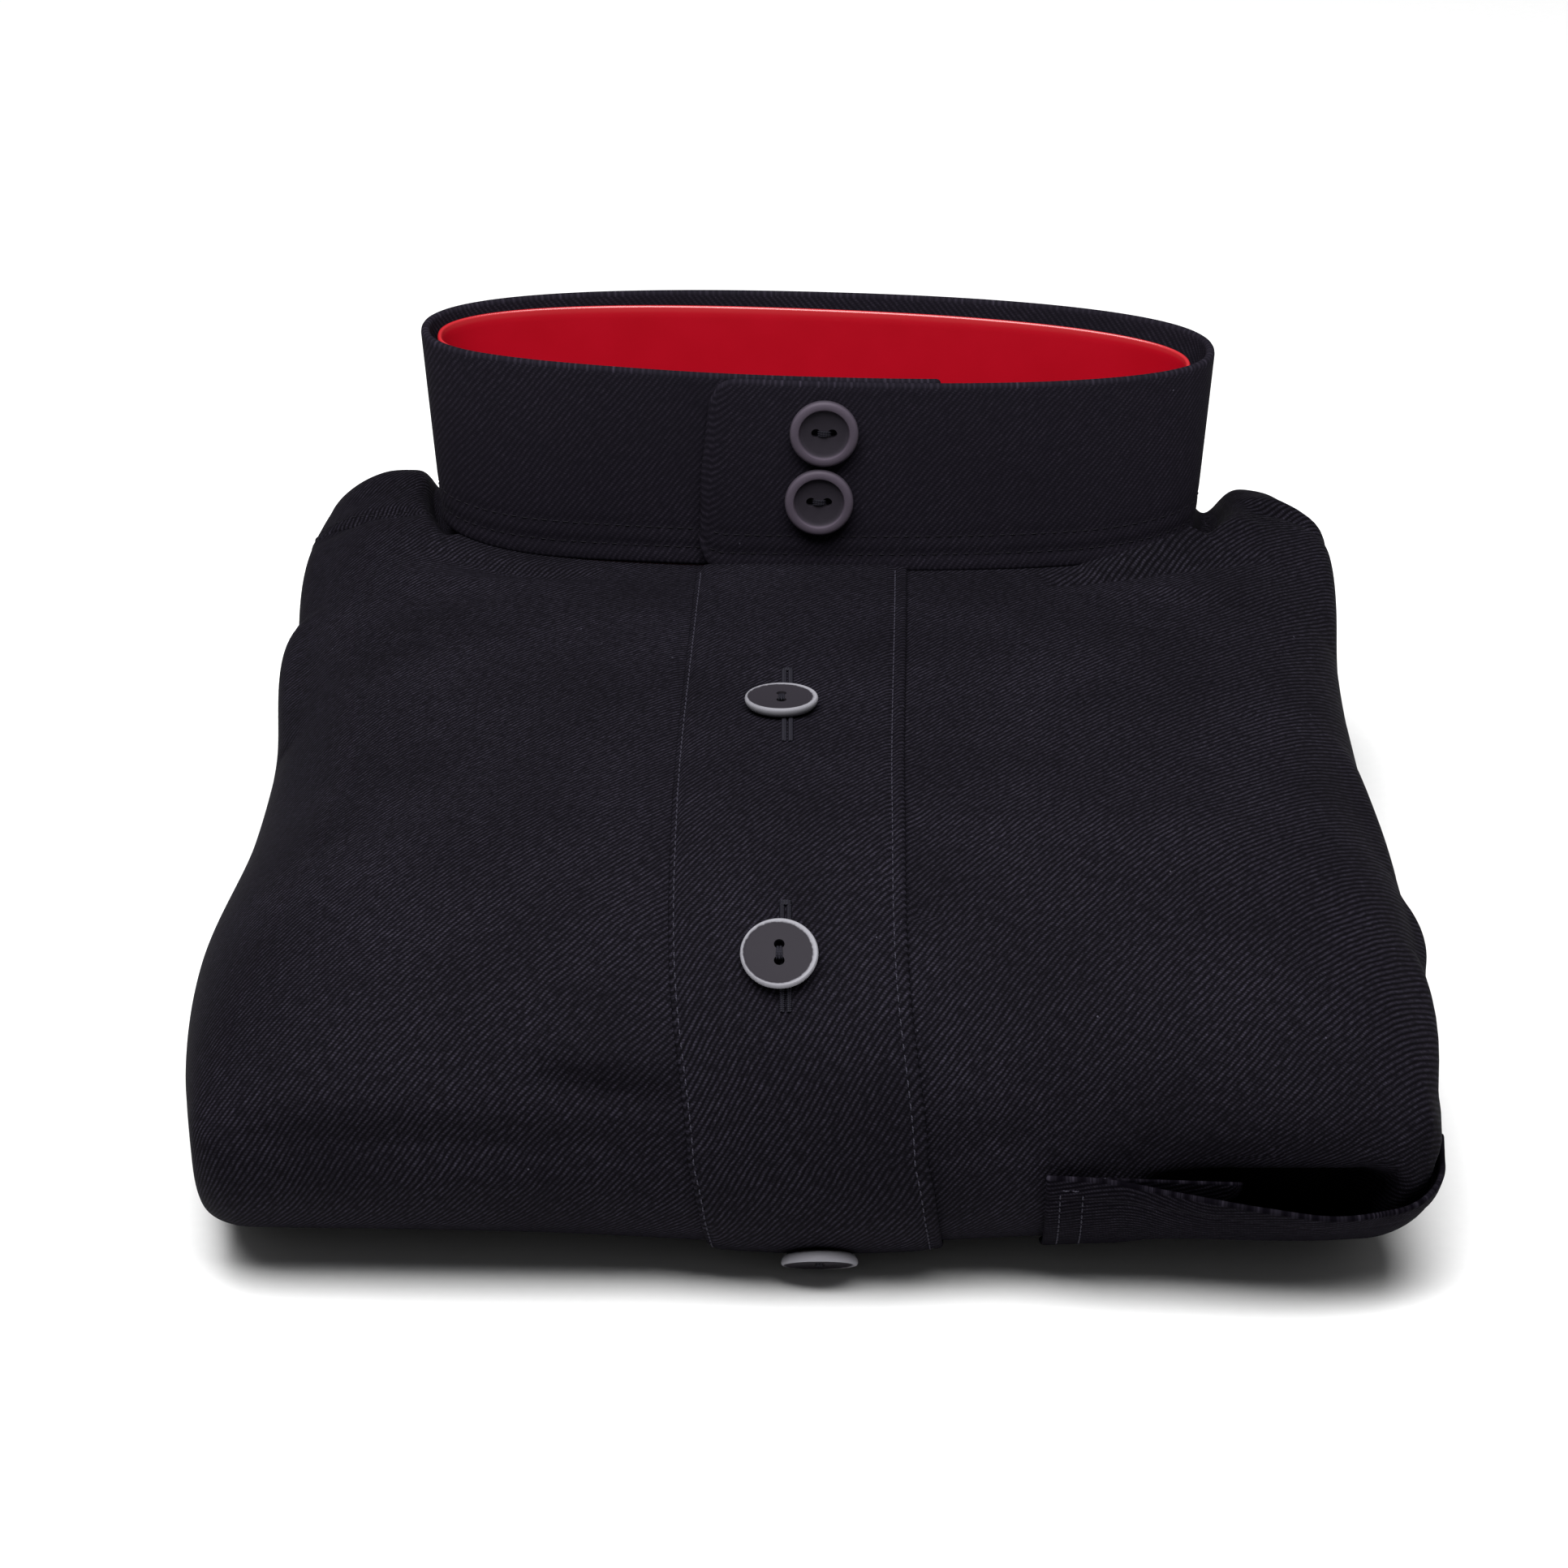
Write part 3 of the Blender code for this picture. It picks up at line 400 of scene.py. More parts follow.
def grid_normals(grid):
    """Unit normals of a grid of points, from its columns crossed with its rows."""
    return unit(np.cross(np.gradient(grid, axis=1), np.gradient(grid, axis=0)))


def front_skin(count, under_rows, over_rows):
    """The skin under the fronts, each column from under the widest line to the neck.

    A column's rows below the line are the curved-in underside, and above it the plan runs straight to
    the neck's oval, at the height of the top.
    """
    points, normals, _ = sampled(front_path(), count)
    return skin(points, neck_line(180, 360, count), side_wrap(points, normals), under_rows, over_rows)


def back_skin(count, under_rows, over_rows):
    """The skin under the yoke and back, in the same way."""
    points, _, _ = sampled(back_path(SEAM_Y + 2 * GAP), count)
    neck = neck_line(0, 180, count)
    neck[:, 1] = np.maximum(neck[:, 1], COLLAR_Y - FOOT_SKEW * (neck[:, 0] - COLLAR_X) + 2 * GAP)
    return skin(points, neck, np.full(count, YOKE_WRAP), under_rows, over_rows)


def skin(points, neck, wrap, under_rows, over_rows):
    """Rows of the skin from each column's wrap under the widest line, up over it, to the neck."""
    below = [under(points, wrap * share) for share in np.linspace(1, 0, under_rows)[:-1]]
    above = [over(points, neck, share**2) for share in np.linspace(0, 1, over_rows)]
    return np.array(below + above)


def evened(grid, count):
    """The grid with each column read again at count points, evenly spaced along the column."""
    run = column_runs(grid)
    apart = np.arange(grid.shape[1]) * 2 * run[-1].max()
    known = (run + apart).T.ravel()
    at = (np.linspace(0, 1, count)[:, None] * run[-1] + apart).T.ravel()
    axes = [np.interp(at, known, grid[:, :, k].T.ravel()).reshape(-1, count).T for k in range(3)]
    return np.stack(axes, axis=2)


def column_runs(grid):
    """Distance run along each column of a grid, from its first row."""
    steps = np.linalg.norm(np.diff(grid, axis=0), axis=2)
    return np.concatenate([np.zeros((1, grid.shape[1])), np.cumsum(steps, axis=0)])


def flat_from_neck(grid):
    """Flat place of each point on the cut cloth: out from the neck on the plan, by the distance run."""
    run = column_runs(grid)
    neck = grid[-1, :, :2]
    out = unit(grid[grid.shape[0] // 3, :, :2] - neck)
    return neck + out * (run[-1] - run)[:, :, None]


def flat_by_rows(grid):
    """Flat place of each point on a strip: its mean run across and its own run along the column."""
    across = np.linalg.norm(np.diff(grid, axis=1), axis=2).mean(axis=0)
    across = np.concatenate([[0.0], np.cumsum(across)])
    along = column_runs(grid)
    return np.stack([np.broadcast_to(across, along.shape), along], axis=2)


def on_top(grid, line):
    """The line's plan places, put on the top skin."""
    return np.column_stack([line, top(line[:, 0], line[:, 1])])


def on_end(grid, line):
    """The line's places across and up, put on the front end: y is that of the nearest points of the cloth."""
    near = grid[grid[:, :, 1] < END_FROM]
    away = np.linalg.norm(near[None, :, [0, 2]] - line[:, None], axis=2)
    y = np.pad(near[np.argmin(away, axis=1), 1], 4, mode="edge")
    return np.column_stack([line[:, 0], np.convolve(y, np.ones(9) / 9, mode="valid"), line[:, 1]])


def creased(grid, creases, keep=1.0, put=on_top):
    """The grid with ridges and troughs: each a Gaussian of the distance to a bowed line, fading at its ends.

    The line's points are on the skin. On one side of it the fall is short and on the other it is long.
    """
    normals = grid_normals(grid)
    share = np.linspace(0, 1, 25)[:, None]
    lift = np.zeros(grid.shape[:2])
    for start, middle, end, short, long, height in creases:
        start, middle, end = np.array(start), np.array(middle), np.array(end)
        plan = start * (1 - share) ** 2 + (2 * middle - (start + end) / 2) * 2 * share * (1 - share)
        path = put(grid, plan + end * share**2)
        apart = np.full(grid.shape[:2], np.inf)
        nearest = np.zeros(grid.shape[:2], int)
        for k, point in enumerate(path):
            away = np.linalg.norm(grid - point, axis=2)
            nearest = np.where(away < apart, k, nearest)
            apart = np.minimum(apart, away)
        offset = grid - path[nearest]
        heading = np.gradient(path, axis=0)[nearest]
        ahead = unit(heading)
        beyond = (offset * ahead).sum(axis=2) / np.linalg.norm(heading, axis=2)
        across = (offset * np.cross(normals, ahead)).sum(axis=2)
        beside = np.hypot(across, (offset * normals).sum(axis=2))
        fade = np.sin(np.pi * np.clip((nearest + beyond) / (len(path) - 1), 0, 1)) ** 0.7
        lift = lift + height * fade * bell(beside, np.where(across > 0, long, short))
    return grid + normals * (lift * keep)[:, :, None]


def unevenness(flat, rows):
    """Slow waves of a cloth that doesn't lie quite flat: a sum of sines of its flat place."""
    total = np.zeros(flat.shape[:2])
    for along_x, along_y, phase, height in rows:
        total = total + height * np.sin(flat[:, :, 0] / along_x + flat[:, :, 1] / along_y + phase)
    return total


def shell(grid, flat, wall, turns=4):
    """A sheet of cloth as a closed shell, with its corners' flat places.

    The grid is its outer face, the inner face lies a wall inside it, and each edge turns over half a
    circle as wide as the wall: edge + radius * (cosine * normal + sine * outward).
    """
    normals = grid_normals(grid)
    radius = wall / 2
    middle = grid - normals * radius
    rows = grid.shape[0]
    angles = np.pi * np.arange(1, turns + 1) / (turns + 1)

    def turned(edge, within, normal, order):
        outward = unit(edge - within)
        return np.array([edge + radius * (np.cos(a) * normal + np.sin(a) * outward) for a in order])

    def round_edges(sheet):
        return np.concatenate([sheet[:1].repeat(turns, 0), sheet, sheet[-1:].repeat(turns, 0), sheet[::-1]])

    low = turned(middle[0], middle[1], normals[0], angles[::-1])
    high = turned(middle[-1], middle[-2], normals[-1], angles)
    ring = np.concatenate([low, grid, high, (grid - normals * wall)[::-1]])
    spine, place = round_edges(middle), round_edges(flat)

    def closing(edge, within, order):
        outward = unit(spine[:, edge] - spine[:, within])
        away = ring[:, edge] - spine[:, edge]
        return [spine[:, edge] + away * math.cos(a) + outward * radius * math.sin(a) for a in order]

    bends = np.radians([35.0, 65.0, 84.0])
    first = np.stack(closing(0, 1, bends[::-1]), axis=1)
    last = np.stack(closing(-1, -2, bends), axis=1)
    ring = np.concatenate([first, ring, last], axis=1)
    place = np.pad(place, ((0, 0), (len(bends), len(bends)), (0, 0)), mode="edge")
    around, columns = ring.shape[:2]
    index = np.arange(around * columns).reshape(around, columns)
    beside = np.roll(index, -1, axis=0)
    quads = np.stack([index[:, :-1], index[:, 1:], beside[:, 1:], beside[:, :-1]], axis=2).reshape(-1, 4)
    half = turns // 2
    outer = np.arange(half, half + rows + turns)
    inner = (half - 1 - np.arange(rows + turns)) % around
    caps = []
    for edge, order in ((0, 1), (-1, -1)):
        a, b = index[outer, edge], index[inner, edge]
        caps.append(np.stack([a[:-1], a[1:], b[1:], b[:-1]][::order], axis=1))
    return ring.reshape(-1, 3), np.concatenate([quads, *caps]), place.reshape(-1, 2)


def ring_shell(rings, flat):
    """A closed surface from closed rings, each joined to the next and the last to the first."""
    count, around = rings.shape[:2]
    index = np.arange(count * around).reshape(count, around)
    on, up = np.roll(index, -1, axis=1), np.roll(index, -1, axis=0)
    both = np.roll(on, -1, axis=0)
    quads = np.stack([index, on, both, up], axis=2).reshape(-1, 4)
    return rings.reshape(-1, 3), quads, flat.reshape(-1, 2)


def linked(name, data):
    """An object of the data, in the scene."""
    holder = bpy.data.objects.new(name, data)
    bpy.context.scene.collection.objects.link(holder)
    return holder


def finished(mesh, flat, material, sharp=None):
    """Give a mesh its flat places, smooth faces, any sharp edges and its material."""
    layer = mesh.uv_layers.new(name="cloth")
    corners = np.zeros(len(mesh.loops), int)
    mesh.loops.foreach_get("vertex_index", corners)
    layer.data.foreach_set("uv", (flat[corners] * MM).ravel())
    mesh.polygons.foreach_set("use_smooth", np.ones(len(mesh.polygons), bool))
    if sharp is not None:
        mesh.set_sharp_from_angle(angle=math.radians(sharp))
    mesh.materials.append(material)
    mesh.update()


def rides(piece, node):
    """The piece moves with the robe's one body, and takes the place of the node, if it has one."""
    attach(piece, BODY)
    if node:
        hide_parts(node)


def piece_from(name, shape, material, node=None):
    """An object of the given points, quads and flat places, with the material."""
    points, quads, flat = shape
    mesh = bpy.data.meshes.new(name)
    mesh.from_pydata((points * MM).tolist(), [], quads.tolist())
    finished(mesh, flat, material)
    rides(linked(name, mesh), node)


def joined(shapes):
    """Several shapes as one."""
    points, quads, flats, first = [], [], [], 0
    for shape_points, shape_quads, flat in shapes:
        points.append(shape_points)
        quads.append(shape_quads + first)
        flats.append(flat)
        first += len(shape_points)
    return np.concatenate(points), np.concatenate(quads), np.concatenate(flats)


def threads(places, headings, normals, lengths, radius, arch, rings=6):
    """Short lengths of thread, each an arched tube with six sides and pointed ends.

    Along it t runs from -1 to 1: place + heading * t * half length + normal * arch * (1 - t^2), and the
    tube's radius is that of the thread times the root of 1 - t^4.
    """
    sides = 6
    t = np.linspace(-0.985, 0.985, rings)
    angle = np.linspace(0, 2 * np.pi, sides, endpoint=False)
    headings = unit(headings)
    across = unit(np.cross(normals, headings))
    out = np.cross(headings, across)
    half = np.broadcast_to(np.asarray(lengths, float) / 2, (len(places),))
    axis = places[:, None] + headings[:, None] * (t[None, :, None] * half[:, None, None])
    axis = axis + out[:, None] * (arch * (1 - t**2))[None, :, None]
    thick = radius * np.sqrt(1 - t**4)
    circle = across[:, None] * np.cos(angle)[None, :, None] + out[:, None] * np.sin(angle)[None, :, None]
    tube = axis[:, :, None] + circle[:, None] * thick[None, :, None, None]
    count = len(places)
    index = np.arange(count * rings * sides).reshape(count, rings, sides)
    on = np.roll(index, -1, axis=2)
    quads = np.stack([index[:, :-1], on[:, :-1], on[:, 1:], index[:, 1:]], axis=3).reshape(-1, 4)
    ends = [index[:, 0, [0, 5, 4, 3]], index[:, 0, [0, 3, 2, 1]]]
    ends += [index[:, -1, [0, 1, 2, 3]], index[:, -1, [0, 3, 4, 5]]]
    flat = np.zeros((count, rings, sides, 2))
    flat[..., 0] = t[None, :, None] * half[:, None, None]
    flat[..., 1] = angle[None, None, :] * radius
    return tube.reshape(-1, 3), np.concatenate([quads, *ends]), flat.reshape(-1, 2)


def seam_row(path, normals, pitch, share, radius, lift, skip=0.0):
    """A row of stitches along a path: one at each pitch, as long as the share of it that shows."""
    run = distances(path)
    at = np.arange(pitch / 2 + skip, run[-1] - pitch / 2 - skip, pitch)
    at = at + pitch * STITCH_WANDER * np.sin(at * 1.7 + 0.4)
    places = read_at(at, run, path)
    ahead = read_at(at + 0.5, run, path) - places
    out = unit(read_at(at, run, normals))
    lengths = pitch * share * (1 + 0.06 * np.sin(at * 2.9))
    return threads(places + out * lift, ahead, out, lengths, radius, radius * 1.3)


# Folds in the fronts: plan places of the line's start, middle and end, then how far it falls off on its
# short side and its long one, and its height, a trough's being below 0
FRONT_CREASES = (
    ((-54, -107), (-40, -113), (-22, -113), 5, 9, 1),
    ((60, 44), (84, 52), (110, 56), 6, 9, 1.2),
    ((13, -109.5), (19, -110.8), (25, -112.6), 0.9, 1.6, -1.5),
    ((13, -113.5), (19, -114.6), (26, -116), 2, 3.5, 0.8),
    ((50, -98), (70, -88), (88, -72), 7, 14, 0.9),
    ((-104, 20), (-96, -20), (-98, -62), 9, 20, 1),
    ((104, 26), (97, -18), (104, -70), 9, 20, 0.9),
    ((-50, 54), (-66, 40), (-92, 34), 8, 16, 0.8),
    ((-46, 62), (-66, 66), (-92, 80), 2.6, 4.5, -1.6),
    ((-40, 54), (-70, 56), (-100, 72), 4, 7, 1.2),
    ((-32, 20), (-44, -10), (-40, -50), 12, 22, 0.6),
    ((40, 30), (48, 0), (44, -36), 12, 22, 0.6),
    ((112, -5), (114.5, -32), (117.5, -58), 5, 5, 1.8),
    ((120, -64), (121.5, -76), (121, -90), 2.6, 2.6, 1.7),
    ((119.5, -88), (120.5, -106), (120, -126), 5, 5, 1.8),
    ((122, -110), (122.4, -124), (119, -137), 4, 4, 1.5),
    ((119, -52), (119.5, -58), (120, -63), 2, 2, -0.6),
)
END_FROM = -125.0  # cloth in front of this is the front end
FRONT_END_CREASES = (  # places across and up on the front end
    ((-56, 51), (-42, 48.6), (-20, 45.5), 1.5, 2.6, -1.9),
    ((-58, 56), (-42, 54), (-20, 51.5), 3, 4.5, 1.6),
    ((-123, 36), (-80, 38.6), (-20, 35.5), 2.4, 3.4, -1.3),
    ((-112, 43), (-80, 45), (-34, 42), 4, 5, 0.8),
    ((-100, 28), (-66, 30), (-30, 28), 3, 4, 0.6),
    ((26, 47), (36, 45), (48, 45.5), 3, 4, 0.8),
    ((20, 38), (30, 37), (44, 39), 2.5, 4, -0.9),
    ((52, 33), (84, 33.6), (120, 33), 3.2, 4.2, -2.2),
    ((66, 42), (65, 38.5), (66.5, 34), 1.6, 2.4, -1.1),
    ((87, 42), (89, 38.5), (88, 34), 1.8, 2.6, -1),
    ((104, 41), (105, 38), (104, 34), 1.6, 2.6, -0.8),
)
SHOULDER_CREASES = (  # on the fronts, the yoke and what lies under them
    ((86, 80), (91, 108), (90.5, 141.5), 3.4, 4.4, -9.5),
    ((-80, 82), (-84.5, 108), (-84.5, 141), 2.4, 2.8, -7),
    ((60, 65), (79, 77), (101, 94), 3.6, 7, 2.7),
    ((50, 56), (70, 62.5), (103, 76), 2.4, 4.2, -3.6),
)
SEAM_CREASES = (  # on the fronts and the yoke
    ((99, 100), (109, 106.5), (117.5, 95), 1.7, 2.6, -1.9),
    ((98, 107), (110, 112), (118, 106), 3, 4.5, 1.4),
    ((-88, 92), (-98, 99), (-112, 100), 1.8, 2.8, -1.8),
    ((-112, 118), (-112.8, 90), (-113.3, 60), 5, 5, 2.2),
    ((-113, 63), (-113.5, 44), (-113, 4), 5, 5, 3.6),
    ((113.5, 112), (114.2, 84), (113.8, 48), 5, 5, 2.4),
)
PLACKET_CREASES = (  # dimples beside the middle button
    ((-19, -105), (-20.8, -114), (-16, -124), 1.6, 2.4, -0.8),
    ((-14.5, -106), (-17, -114), (-13.5, -123), 1.3, 1.8, 0.5),
    ((-24, -110), (-24.5, -117), (-21, -124), 1.5, 2, 0.4),
)
BACK_CREASES = (
    ((-84, 121), (-40, 128), (4, 126), 4, 8, 0.9),
    ((20, 124), (52, 128), (88, 122), 5, 9, 0.8),
    ((-60, 132), (-20, 134), (34, 133), 3, 6, -0.7),
    ((70, 139), (40, 141.5), (-10, 142), 4, 7, 0.8),
    ((-100, 112), (-98, 124), (-84, 134), 4, 9, 0.9),
    ((98, 108), (104, 120), (92, 134), 4, 9, 0.9),
)
# Over what the folds rise to their full height: away from the placket, in sizes of the collar's foot, up
# from the floor, and behind the shoulder seams
FLAT_BESIDE_PLACKET = (0.2, 3.0)
FLAT_BESIDE_COLLAR = (1.0, 1.2)
FLAT_ON_FLOOR = (2.0, 20.0)
FLAT_BESIDE_SEAM = (2.0, 9.0)
SLOW_WAVES = (  # length across and along, phase, height
    (31.0, 47.0, 0.4, 0.22),
    (-57.0, 38.0, 1.9, 0.2),
    (19.0, -71.0, 3.1, 0.12),
    (83.0, 23.0, 0.9, 0.14),
)

# Counts of columns, rows under the widest line and rows over it, then of the rows that they are evened to
FRONT_GRID = (483, 60, 120)
FRONT_EVENED = 132
YOKE_GRID = (221, 12, 90)
YOKE_EVENED = 66

# Stitches
STITCH_WANDER = 0.05
PLACKET_STITCH = (2.35, 0.66, 0.17, 0.0, 2.0)  # pitch, share that shows, thread, lift, left bare at the ends
FINE_STITCH = (2.35, 0.66, 0.12, -0.05, 3.0)
POCKET_STITCH = (2.0, 0.7, 0.16, 0.0)
PLACKET_STITCHES = (0.5, 1.9)  # in from the placket's left edge, and from its right one
COLLAR_STITCHES = (3.0, 7.6)  # up from the collar's foot
COLLAR_PRESSED = (0.3, 0.15)  # depth of the cloth along each of its rows
POCKET_STITCHES = (2.4, 6.9)  # in from the pocket's side


def fronts(right_cloth, left_cloth):
    """The two fronts, each a closed shell with soft folds; they lie flat where the placket covers them."""
    grid = evened(front_skin(*FRONT_GRID), FRONT_EVENED)
    flat = flat_from_neck(grid)
    x, y = grid[:, :, 0], grid[:, :, 1]
    run = np.clip((y - front_edge(x)) / (PLACKET_TOP - front_edge(x)), 0.0, 1.0) ** (1 / PLACKET_RUN_POWER)
    keep = step(np.abs(x - from_table(PLACKET_MIDDLE, run)) - PLACKET_HALF, *FLAT_BESIDE_PLACKET)
    inside = np.linalg.norm((grid[:, :, :2] - (COLLAR_X, COLLAR_Y)) / FOOT_HALF, axis=2)
    keep = keep * step(inside, *FLAT_BESIDE_COLLAR)
    folded = creased(grid, FRONT_CREASES, keep)
    folded = folded + creased(grid, FRONT_END_CREASES, keep, on_end) - grid
    folded = folded + creased(grid, SHOULDER_CREASES + SEAM_CREASES) - grid
    lift = unevenness(flat, SLOW_WAVES) * keep * step(grid[:, :, 2], *FLAT_ON_FLOOR)
    folded = folded + grid_normals(grid) * lift[:, :, None]
    folded[:, :, 2] = np.maximum(folded[:, :, 2], CLOTH / 2)
    middle = FRONT_GRID[0] // 2
    sides = (("right", slice(middle), right_cloth), ("left", slice(middle + 1, None), left_cloth))
    for side, part, cloth in sides:
        piece_from(side + "_front", shell(folded[:, part], flat[:, part], CLOTH), cloth, "front_" + side)


def yoke(cloth):
    """The yoke and back: a closed shell from the shoulder seams over the back end.

    It gives the lines of both shoulder seams.
    """
    grid = evened(back_skin(*YOKE_GRID), YOKE_EVENED)
    flat = flat_from_neck(grid)
    keep = step(grid[:, :, 1] - SEAM_Y, *FLAT_BESIDE_SEAM)
    folded = creased(grid, BACK_CREASES, keep) + creased(grid, SHOULDER_CREASES + SEAM_CREASES) - grid
    folded = folded + grid_normals(grid) * (unevenness(flat, SLOW_WAVES) * keep)[:, :, None]
    piece_from("yoke", shell(folded, flat, CLOTH), cloth, "back_yoke")
    return lines_of(folded, (2, -3))


def lines_of(grid, columns, rows=slice(None)):
    """Columns of a grid, each with its normals."""
    normals = grid_normals(grid)
    return [(grid[rows, k], normals[rows, k]) for k in columns]


def ply_inset(z, turn):
    """Inset of the folded layers' edges at height z: each ply is round, and wanders in and out slowly."""
    inset = np.full(z.shape, PLY_GROOVE)
    for k, (middle, half, least, groove) in enumerate(PLIES):
        across = (z - middle) / half
        wander = 0.8 * np.sin(turn * (2 + k) + 1.3 * k) + 0.5 * np.sin(turn * (5 + 2 * k) + 2.1 * k)
        edge = least + wander * PLY_WANDER + groove * (1 - np.sqrt(np.clip(1 - across**2, 0.0, 1.0)))
        inset = np.where(np.abs(across) < 1, np.minimum(inset, edge), inset)
    return inset


def sleeve_proud(points, normals):
    """How far a sleeve's fold stands out past the front above it."""
    y = points[:, 1]
    proud = np.where(points[:, 0] < 0, SLEEVE_PROUD[-1], SLEEVE_PROUD[1])
    return proud * step(y, *SLEEVE_RISES) * (1 - step(y, *SLEEVE_FALLS)) * np.abs(normals[:, 0])


def folded_layers(cloth):
    """Everything that is folded away: rings from the flat underside, up the plies' edges, to a low top.

    At the sides and the back a ring is the widest line moved in by the plies' inset at its height. At the
    front it follows the fronts' own curve, a cloth's thickness inside them.
    """
    in_front, behind, up = LAYER_GRID
    front, front_out, _ = sampled(front_path(), in_front)
    back, back_out, _ = sampled(back_path(SEAM_Y), behind)
    points = np.concatenate([front, back[1:-1]])
    normals = np.concatenate([front_out, back_out[1:-1]])
    turn = np.linspace(0, 2 * np.pi, len(points), endpoint=False)
    wrapped = np.maximum(1 - step(points[:, 1], *WRAP_ENDS), frontness(normals))[:, None]
    rings = []
    for z in np.linspace(0.0, LAYER_TOP, up):
        level = np.full(len(points), z)
        inset = ply_inset(level, turn) - sleeve_proud(points, normals) * step(level, *PROUD_ABOVE)
        side_row = np.column_stack([points - normals * inset[:, None], level])
        degrees = np.full(len(points), math.degrees(math.asin(1 - z / EDGE_Z)))
        front_row = under(points, degrees, margin=LAYER_MARGIN)
        inside = LAYER_INSIDE[0] + LAYER_INSIDE[1] * step(-level, -8.0, -0.5)
        front_row[:, :2] -= normals * inside[:, None]
        rings.append(side_row * (1 - wrapped) + front_row * wrapped)
    under_rings = [rings[0] * (share, share, 0.0) for share in (0.01, 0.3, 0.7, 0.97)]
    neck = np.concatenate([neck_line(180, 360, len(front)), neck_line(0, 180, len(back))[1:-1]])
    above = np.array([over(points, neck, (k / 30) ** 2) for k in range(31)])
    bedding = BEDDING + (BACK_BEDDING - BEDDING) * step(above[:, :, 1:2], SEAM_Y - 6.0, SEAM_Y + 12.0)
    bedded = creased(above - grid_normals(above) * bedding, SHOULDER_CREASES)
    centre = np.array([COLLAR_X, COLLAR_Y])
    closing = []
    for share in (0.9, 0.8, 0.7, 0.6, 0.5, 0.4, 0.3, 0.2, 0.1, 0.01):
        plan = centre + (bedded[-1][:, :2] - centre) * share
        closing.append(np.column_stack([plan, top(plan[:, 0], plan[:, 1]) - BEDDING]))
    rings = np.array(under_rings + rings + list(bedded) + closing)
    rows = np.linalg.norm(np.diff(rings, axis=0), axis=2).mean(axis=1)
    rows = np.concatenate([[0.0], np.cumsum(rows)])
    flat = np.stack(np.broadcast_arrays(distances(points)[None, :], rows[:, None]), axis=2)
    piece_from("layers", ring_shell(rings, flat), cloth, "folded_layers")


def sleeves(cloth):
    """The sleeves folded in at the sides: each a half round fold along its side, with soft ripples."""
    middle, high, inset, deep = SLEEVE_LAYER
    wall = CLOTH + 0.5
    y = np.linspace(SLEEVE_FROM, SLEEVE_TO, 120)
    for side, name, node in ((-1, "right_sleeve", "sleeve_left"), (1, "left_sleeve", "sleeve_right")):
        half = sided(side, y)
        points = np.column_stack([side * half, y])
        normals = np.column_stack([np.full(len(y), float(side)), np.zeros(len(y))])
        proud = sleeve_proud(points, normals)
        (slow, long), (quick, short) = SLEEVE_RIPPLES
        ripple = slow * np.sin(y / long + side) + quick * np.sin(y / short)
        rows = []
        for angle in np.radians(np.linspace(-SLEEVE_TURN, SLEEVE_TURN, 26)):
            out = half - inset + proud - (deep + wall) * (1 - math.cos(angle)) + wall
            out = out + ripple * math.cos(angle) ** 2
            z = middle + (high + wall) * math.sin(angle)
            rows.append(np.column_stack([side * out, y, np.full(len(y), z)]))
        grid = np.array(rows)[:, ::side]
        piece_from(name, shell(grid, flat_by_rows(grid), CLOTH), cloth, node)


def tab_end():
    """The angle at which the collar's tab ends at the foot."""
    return -90 - math.degrees(math.asin((-TAB_END_X / FOOT_HALF[0]) ** (COLLAR_SQUARE / 2)))


def collar_line(degrees, share):
    """The collar's outer face at that share of its height: from the foot's oval to the rim's."""
    foot = oval(FOOT_HALF, COLLAR_Y, degrees, FOOT_SKEW)
    lean = TAB_LEAN * (1 - step(degrees, tab_end(), tab_end() + TAB_LEAN_OVER))
    rim = oval(RIM_HALF, RIM_Y, degrees + lean)
    rim_z = RIM_Z + RIM_TILT * rim[:, 0] / RIM_HALF[0] + RIM_BACK_RISE * step(rim[:, 1], *RIM_BACK_FROM)
    low = np.column_stack([foot, top(foot[:, 0], foot[:, 1]) + COLLAR_REST])
    high = np.column_stack([rim, rim_z])
    row = low + (high - low) * np.asarray(share)[:, None]
    out = unit((foot - (COLLAR_X, COLLAR_Y)) / np.array(FOOT_HALF) ** 2)
    row[:, :2] -= out * ((COLLAR_WALL + 2 * GAP) * step(degrees, *LAP_ENDS))[:, None]
    return row


def collar(cloth):
    """The stand collar: one band round the neck, its left end over its right one, with round corners.

    It gives the lines of the two rows of stitches along its foot.
    """
    start = 270 + math.degrees(math.asin((UNDERLAP_X / FOOT_HALF[0]) ** (COLLAR_SQUARE / 2)))
    degrees = np.linspace(start, tab_end(), 420)
    distance = np.arange(len(degrees))[::-1] * (COLLAR_LENGTH / (len(degrees) - 1))
    inside = np.clip(TAB_CORNER - distance, 0.0, None)
    pinch = (TAB_CORNER - np.sqrt(np.maximum(TAB_CORNER**2 - inside**2, 0.0))) / COLLAR_HEIGHT
    shares = np.linspace(0, 1, 40)
    grid = np.array([collar_line(degrees, pinch + share * (1 - 2 * pinch)) for share in shares])[:, ::-1]
    flat = flat_by_rows(grid)
    normals = grid_normals(grid)
    height = shares[:, None] * COLLAR_HEIGHT
    pressed = sum(depth * bell(height - up, 0.8) for up, depth in zip(COLLAR_STITCHES, COLLAR_PRESSED))
    soft = 0.25 * np.sin(flat[:, :, 0] / 21.0 + 0.6) * np.sin(np.pi * shares)[:, None]
    grid = grid + normals * (soft - pressed)[:, :, None]
    piece_from("stand_collar", shell(grid, flat, COLLAR_WALL, 6), cloth, "collar")
    levels = [round(up / COLLAR_HEIGHT * 39) for up in COLLAR_STITCHES]
    return [(grid[level], normals[level]) for level in levels]


